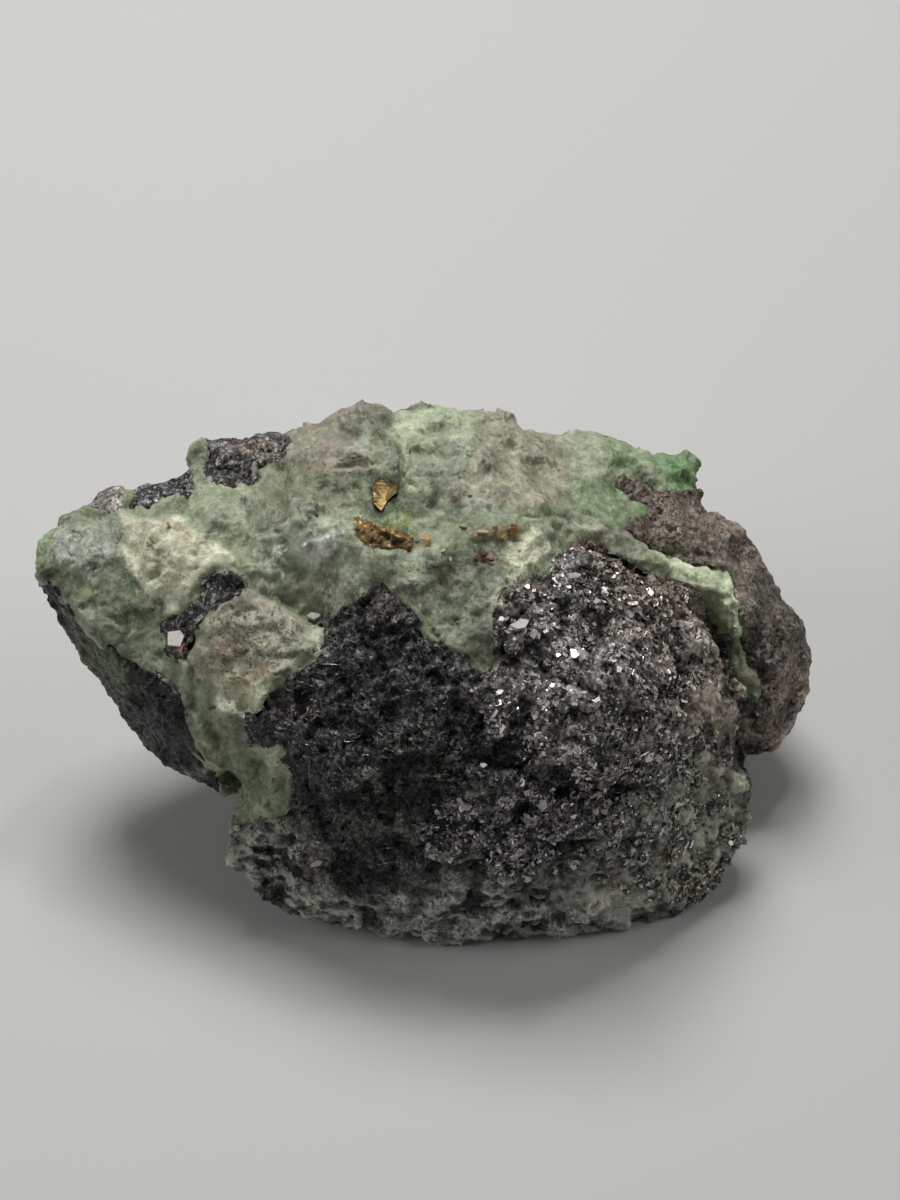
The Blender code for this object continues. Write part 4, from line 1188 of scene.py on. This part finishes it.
def make_hairs(form, points, weight, settings):
    """Fine bright hairs of graphite that lie on the dark side in short curves."""
    draw = np.random.default_rng(89)
    chosen = picked(weight, settings.hair_count, draw)
    here = points[chosen]
    _, out, _ = form.nearest(here)
    way, _ = across_ways(out, draw)
    bend = draw.normal(0, HAIR_BEND, (len(chosen), 1))
    width = draw.uniform(*HAIR_HALF, (len(chosen), 1))
    pace = draw.uniform(*HAIR_PACE, (len(chosen), 1))
    rings = []
    for joint in range(HAIR_JOINTS):
        place, out, _ = form.nearest(here)
        lift = place + HAIR_LIFT * out
        side = np.cross(out, way)
        taper = width * math.sin(math.pi * (joint + 0.6) / (HAIR_JOINTS + 0.2))
        rings.append(np.stack([lift + side * taper, lift + out * taper * 1.5, lift - side * taper], axis=1))
        way = way + bend * side
        way -= out * (way * out).sum(axis=1)[:, None]
        way /= np.linalg.norm(way, axis=1)[:, None]
        here = place + way * pace
    spots = np.stack(rings, axis=1).reshape(-1, 3)
    faces = []
    for first in range(0, len(spots), 3 * HAIR_JOINTS):
        faces.append((first + 2, first + 1, first))
        last = first + 3 * (HAIR_JOINTS - 1)
        faces.append((last, last + 1, last + 2))
        for ring in range(first, last, 3):
            for a, b in ((0, 1), (1, 2), (2, 0)):
                faces.append((ring + a, ring + b, ring + b + 3, ring + a + 3))
    shades = linear(PAINTS["hair"]) * draw.uniform(0.1, 0.6, (len(chosen), 1))
    tints = np.repeat(shades, 3 * HAIR_JOINTS, axis=0)
    loose_piece("graphite_hairs", spots, faces, tints, flake_material("graphite_hairs", 0.6, 0.25))


# How far single flakes stand off the stone, in millimetres
FLAKE_LIFT = 0.12
# Single flakes: the place on the face (across, up), the half sizes (long, wide, thick), how far each
# leans across and up, its turn in degrees and its paint
SINGLE_FLAKES = (
    (5.5, -2.0, 1.15, 0.5, 0.16, 0.25, 0.35, 25, "silver flake"),
    (-21.4, -3.1, 0.85, 0.8, 0.35, 0.1, 0.25, 10, "pink white"),
    (-20.9, -3.9, 0.4, 0.28, 0.25, -0.1, 0.0, 30, "rosy"),
    (-10.6, -1.3, 0.65, 0.36, 0.16, 0.2, 0.3, -15, "white"),
    (-9.9, -2.6, 0.3, 0.4, 0.12, -0.2, 0.1, 0, "white"),
    (-4.6, 3.3, 0.34, 0.42, 0.16, 0.1, 0.2, 15, "white"),
    (-2.7, 1.6, 0.36, 0.18, 0.12, 0.3, 0.1, -25, "white"),
    (0.0, 3.2, 0.14, 0.2, 0.08, 0.1, 0.1, 0, "white"),
    (4.9, 5.4, 0.3, 0.5, 0.16, 0.2, 0.2, 0, "bronze"),
    (-1.8, 4.8, 0.45, 0.26, 0.06, 0.1, 0.2, 0, "gold"),
    (-3.2, 4.3, 0.2, 0.3, 0.1, 0.1, 0.2, 0, "bronze"),
    (1.0, 5.6, 0.45, 0.16, 0.16, 0.1, 0.3, -8, "tan"),
    (2.5, 5.3, 0.6, 0.2, 0.16, 0.2, 0.3, 4, "pale brown"),
    (4.2, 4.9, 0.26, 0.3, 0.18, -0.1, 0.2, 20, "gold"),
    (3.5, 5.7, 0.3, 0.14, 0.14, 0.1, 0.1, 30, "gold"),
    (2.6, 3.5, 0.45, 0.24, 0.14, 0.1, 0.2, 10, "rust"),
    (3.2, 3.1, 0.3, 0.18, 0.14, -0.2, 0.2, -20, "lead brown"),
    (2.0, 3.2, 0.24, 0.2, 0.14, 0.2, 0.0, 0, "lead brown"),
    (-0.6, 3.8, 0.28, 0.14, 0.12, 0.2, 0.2, 30, "white"),
    (1.6, 8.2, 0.26, 0.14, 0.12, 0.1, 0.2, -20, "frost"),
    (-10.4, -20.6, 0.7, 0.26, 0.3, 0.2, 0.4, 20, "pale brown"),
    (20.4, -8.6, 0.3, 0.5, 0.12, 0.1, 0.3, 10, "silver flake"),
    (7.6, -8.4, 0.4, 0.3, 0.1, 0.2, 0.3, 40, "silver flake"),
    (2.6, -13.0, 0.3, 0.22, 0.1, 0.1, 0.3, 0, "silver flake"),
)


def on_stone(across, up):
    """Where the eye's line through a place on the face meets the stone, and the way out there."""
    eye = FACE_MIDDLE + OUT_OF_FACE * EYE
    aim = FACE_MIDDLE + up * UP_FACE + np.array((across, 0, 0))
    place, out, _, _ = STONE.tree.ray_cast(Vector(eye), Vector(aim - eye))
    return np.array(place), np.array(out)


def make_single_flakes():
    """The few flakes that show singly: white garnet, mica, one bright graphite flake and rusty pyrite."""
    draw = np.random.default_rng(97)
    middles, longs, wides, leans, halves, shades = [], [], [], [], [], []
    for across, up, long, wide, thick, lean_across, lean_up, turn, paint in SINGLE_FLAKES:
        place, out = on_stone(across, up)
        lean = out + lean_across * np.array((1, 0, 0)) + lean_up * UP_FACE
        lean /= np.linalg.norm(lean)
        flat = np.cross(UP_FACE, lean)
        flat /= np.linalg.norm(flat)
        rise = np.cross(lean, flat)
        angle = math.radians(turn)
        middles.append(place + out * FLAKE_LIFT)
        longs.append(flat * math.cos(angle) + rise * math.sin(angle))
        wides.append(rise * math.cos(angle) - flat * math.sin(angle))
        leans.append(lean)
        halves.append((long, wide, thick))
        shades.append(linear(PAINTS[paint]))
    ways = (np.array(longs), np.array(wides), np.array(leans))
    material = flake_material("single_flakes", 0.1, 0.4)
    plates("single_flakes", np.array(middles), ways, np.array(halves), np.array(shades), draw, material)


# How far the wedge stands proud and how big the faces of the other grain's skin are, in millimetres, and
# how many bands the wedge has in a millimetre
WEDGE_LIFT = 0.3
GRAIN_STEP = 0.14
WEDGE_BANDS = 3.2
WEDGE_PAINT = (
    ("lead brown", 0.7, ((-6.4, 9.8), (-4.0, 9.8), (-4.0, 9.0), (-6.2, 8.6))),
    ("gold", 0.8, ((-5.6, 8.4), (-4.2, 8.9), (-4.8, 7.4), (-5.4, 6.9))),
)
GRAIN_PAINT = (
    ("lead", 0.9, ((-6.2, 5.7), (-4.4, 5.0), (-3.6, 4.6), (-4.6, 4.3), (-6.0, 4.8))),
    ("lead", 0.8, (-5.6, 4.4, 0.6, 0.3, 0)),
)


def make_wedge():
    """The wedge keeps its solid's flat sides, a little proud of the garnet."""
    obj = changed(
        solid_copy("pyrite_wedge_skin", ["pyrite_wedge"]),
        ("SUBSURF", {"subdivision_type": "SIMPLE", "levels": 4}))
    points = points_of(obj.data)
    bands = np.abs((on_face(points)[:, 1] * WEDGE_BANDS + 0.3 * swell(points, 0.8, 33)) % 1 - 0.5)
    points += normals_of(obj.data) * (0.05 * bands + 0.02 * rough(points, 0.4, 35))[:, None]
    place_points(obj.data, points + OUT_OF_FACE * WEDGE_LIFT)
    store(obj.data, "tint", painted(points, "bronze", WEDGE_PAINT, np.ones(len(points))))
    return finished(obj, "pyrite_wedge", pyrite_material("pyrite_wedge"))


def make_grain():
    """The other grain is broken into small angular chips."""
    obj, points, out, past, hold = lap_skin("pyrite_grain", GRAIN_STEP)
    rise = 0.14 + 0.14 * chips(points, 0.8, 29) + 0.1 * chips(points, 0.35, 31) - DIP * np.clip(past, 0, 1)
    place_points(obj.data, points + out * (hold * rise)[:, None])
    store(obj.data, "tint", painted(points, "bronze", GRAIN_PAINT, np.ones(len(points))))
    return finished(obj, "pyrite_grain", pyrite_material("pyrite_grain"))


# The floor's width, in metres
FLOOR_SIZE = 3
# Square lamps: the name, the place in metres, the power in watts and the width in metres
LAMPS = (
    ("key", (-0.1, 0.44, 0.62), 3.5, 0.28),
    ("glint", (0.1, 0.3, 0.5), 0.35, 0.06),
    ("left", (-0.42, -0.06, 0.26), 0.46, 0.25),
    ("right", (0.36, 0.02, 0.36), 0.34, 0.25),
    ("front", (-0.04, -0.3, 0.42), 0.02, 0.2),
)


def make_stage(settings):
    """The floor, the camera that looks straight at the display face, the lamps and the room's light."""
    scene = bpy.context.scene
    bpy.ops.mesh.primitive_plane_add(size=FLOOR_SIZE)
    floor = bpy.context.object
    floor.name = "floor"
    floor.data.materials.append(floor_material(settings))
    middle = Vector(FACE_MIDDLE * MM)
    back = Vector(OUT_OF_FACE)
    camera = linked("camera", bpy.data.cameras.new("camera"))
    camera.data.lens = LENS
    camera.data.sensor_width = SENSOR
    camera.data.clip_start = 10 * MM
    camera.location = middle + back * EYE * MM
    camera.rotation_mode = "QUATERNION"
    camera.rotation_quaternion = (-back).to_track_quat("-Z", "Y")
    scene.camera = camera
    for name, place, power, size in LAMPS:
        lamp = bpy.data.lights.new(name, "AREA")
        lamp.energy = power * settings.lamp_strength
        lamp.size = size
        holder = linked(name, lamp)
        holder.location = place
        holder.rotation_euler = (-Vector(place)).to_track_quat("-Z", "Y").to_euler()
    world = bpy.data.worlds.new("room")
    world.use_nodes = True
    shade = world.node_tree.nodes["Background"]
    shade.inputs["Color"].default_value = (1.0, 0.99, 0.98, 1)
    shade.inputs["Strength"].default_value = settings.sky
    scene.world = world
    scene.view_settings.view_transform = "Standard"


class GarnetOperator(bpy.types.Operator):
    """Makes the green garnet's skin"""

    bl_idname = "tsavorite.garnet"
    bl_label = "Garnet"

    def execute(self, context):
        make_garnet(context.scene.tsavorite_garnet)
        return {"FINISHED"}


class GraphiteOperator(bpy.types.Operator):
    """Makes the skins of the graphite lumps and patches"""

    bl_idname = "tsavorite.graphite"
    bl_label = "Graphite"

    def execute(self, context):
        for node in LUMPS:
            make_graphite(node, context.scene.tsavorite_graphite)
        make_single_flakes()
        return {"FINISHED"}


class PyriteOperator(bpy.types.Operator):
    """Makes the pyrite grains"""

    bl_idname = "tsavorite.pyrite"
    bl_label = "Pyrite"

    def execute(self, context):
        make_wedge()
        make_grain()
        return {"FINISHED"}


class StageOperator(bpy.types.Operator):
    """Makes the floor, the lights and the camera"""

    bl_idname = "tsavorite.stage"
    bl_label = "Stage"

    def execute(self, context):
        make_stage(context.scene.tsavorite_stage)
        return {"FINISHED"}


OPERATORS = (GarnetOperator, GraphiteOperator, PyriteOperator, StageOperator)
SETTINGS = {
    "tsavorite_garnet": GarnetSettings,
    "tsavorite_graphite": GraphiteSettings,
    "tsavorite_stage": StageSettings,
}


class TsavoritePanel(bpy.types.Panel):
    """Lists the pieces and their settings"""

    bl_idname = "VIEW3D_PT_tsavorite"
    bl_label = "Rough Tsavorite"
    bl_space_type = "VIEW_3D"
    bl_region_type = "UI"
    bl_category = "Tsavorite"

    def draw(self, context):
        for operator in OPERATORS:
            self.layout.operator(operator.bl_idname)
        for name, group in SETTINGS.items():
            box = self.layout.box()
            for field in group.__annotations__:
                box.prop(getattr(context.scene, name), field)


def register():
    for cls in (*SETTINGS.values(), *OPERATORS, TsavoritePanel):
        bpy.utils.register_class(cls)
    for name, group in SETTINGS.items():
        setattr(bpy.types.Scene, name, PointerProperty(type=group))


def unregister():
    for name in SETTINGS:
        delattr(bpy.types.Scene, name)
    for cls in (TsavoritePanel, *reversed(OPERATORS), *reversed(SETTINGS.values())):
        bpy.utils.unregister_class(cls)


def main():
    register()
    bpy.ops.tsavorite.garnet()
    bpy.ops.tsavorite.graphite()
    bpy.ops.tsavorite.pyrite()
    bpy.ops.tsavorite.stage()


if __name__ == "__main__":
    main()
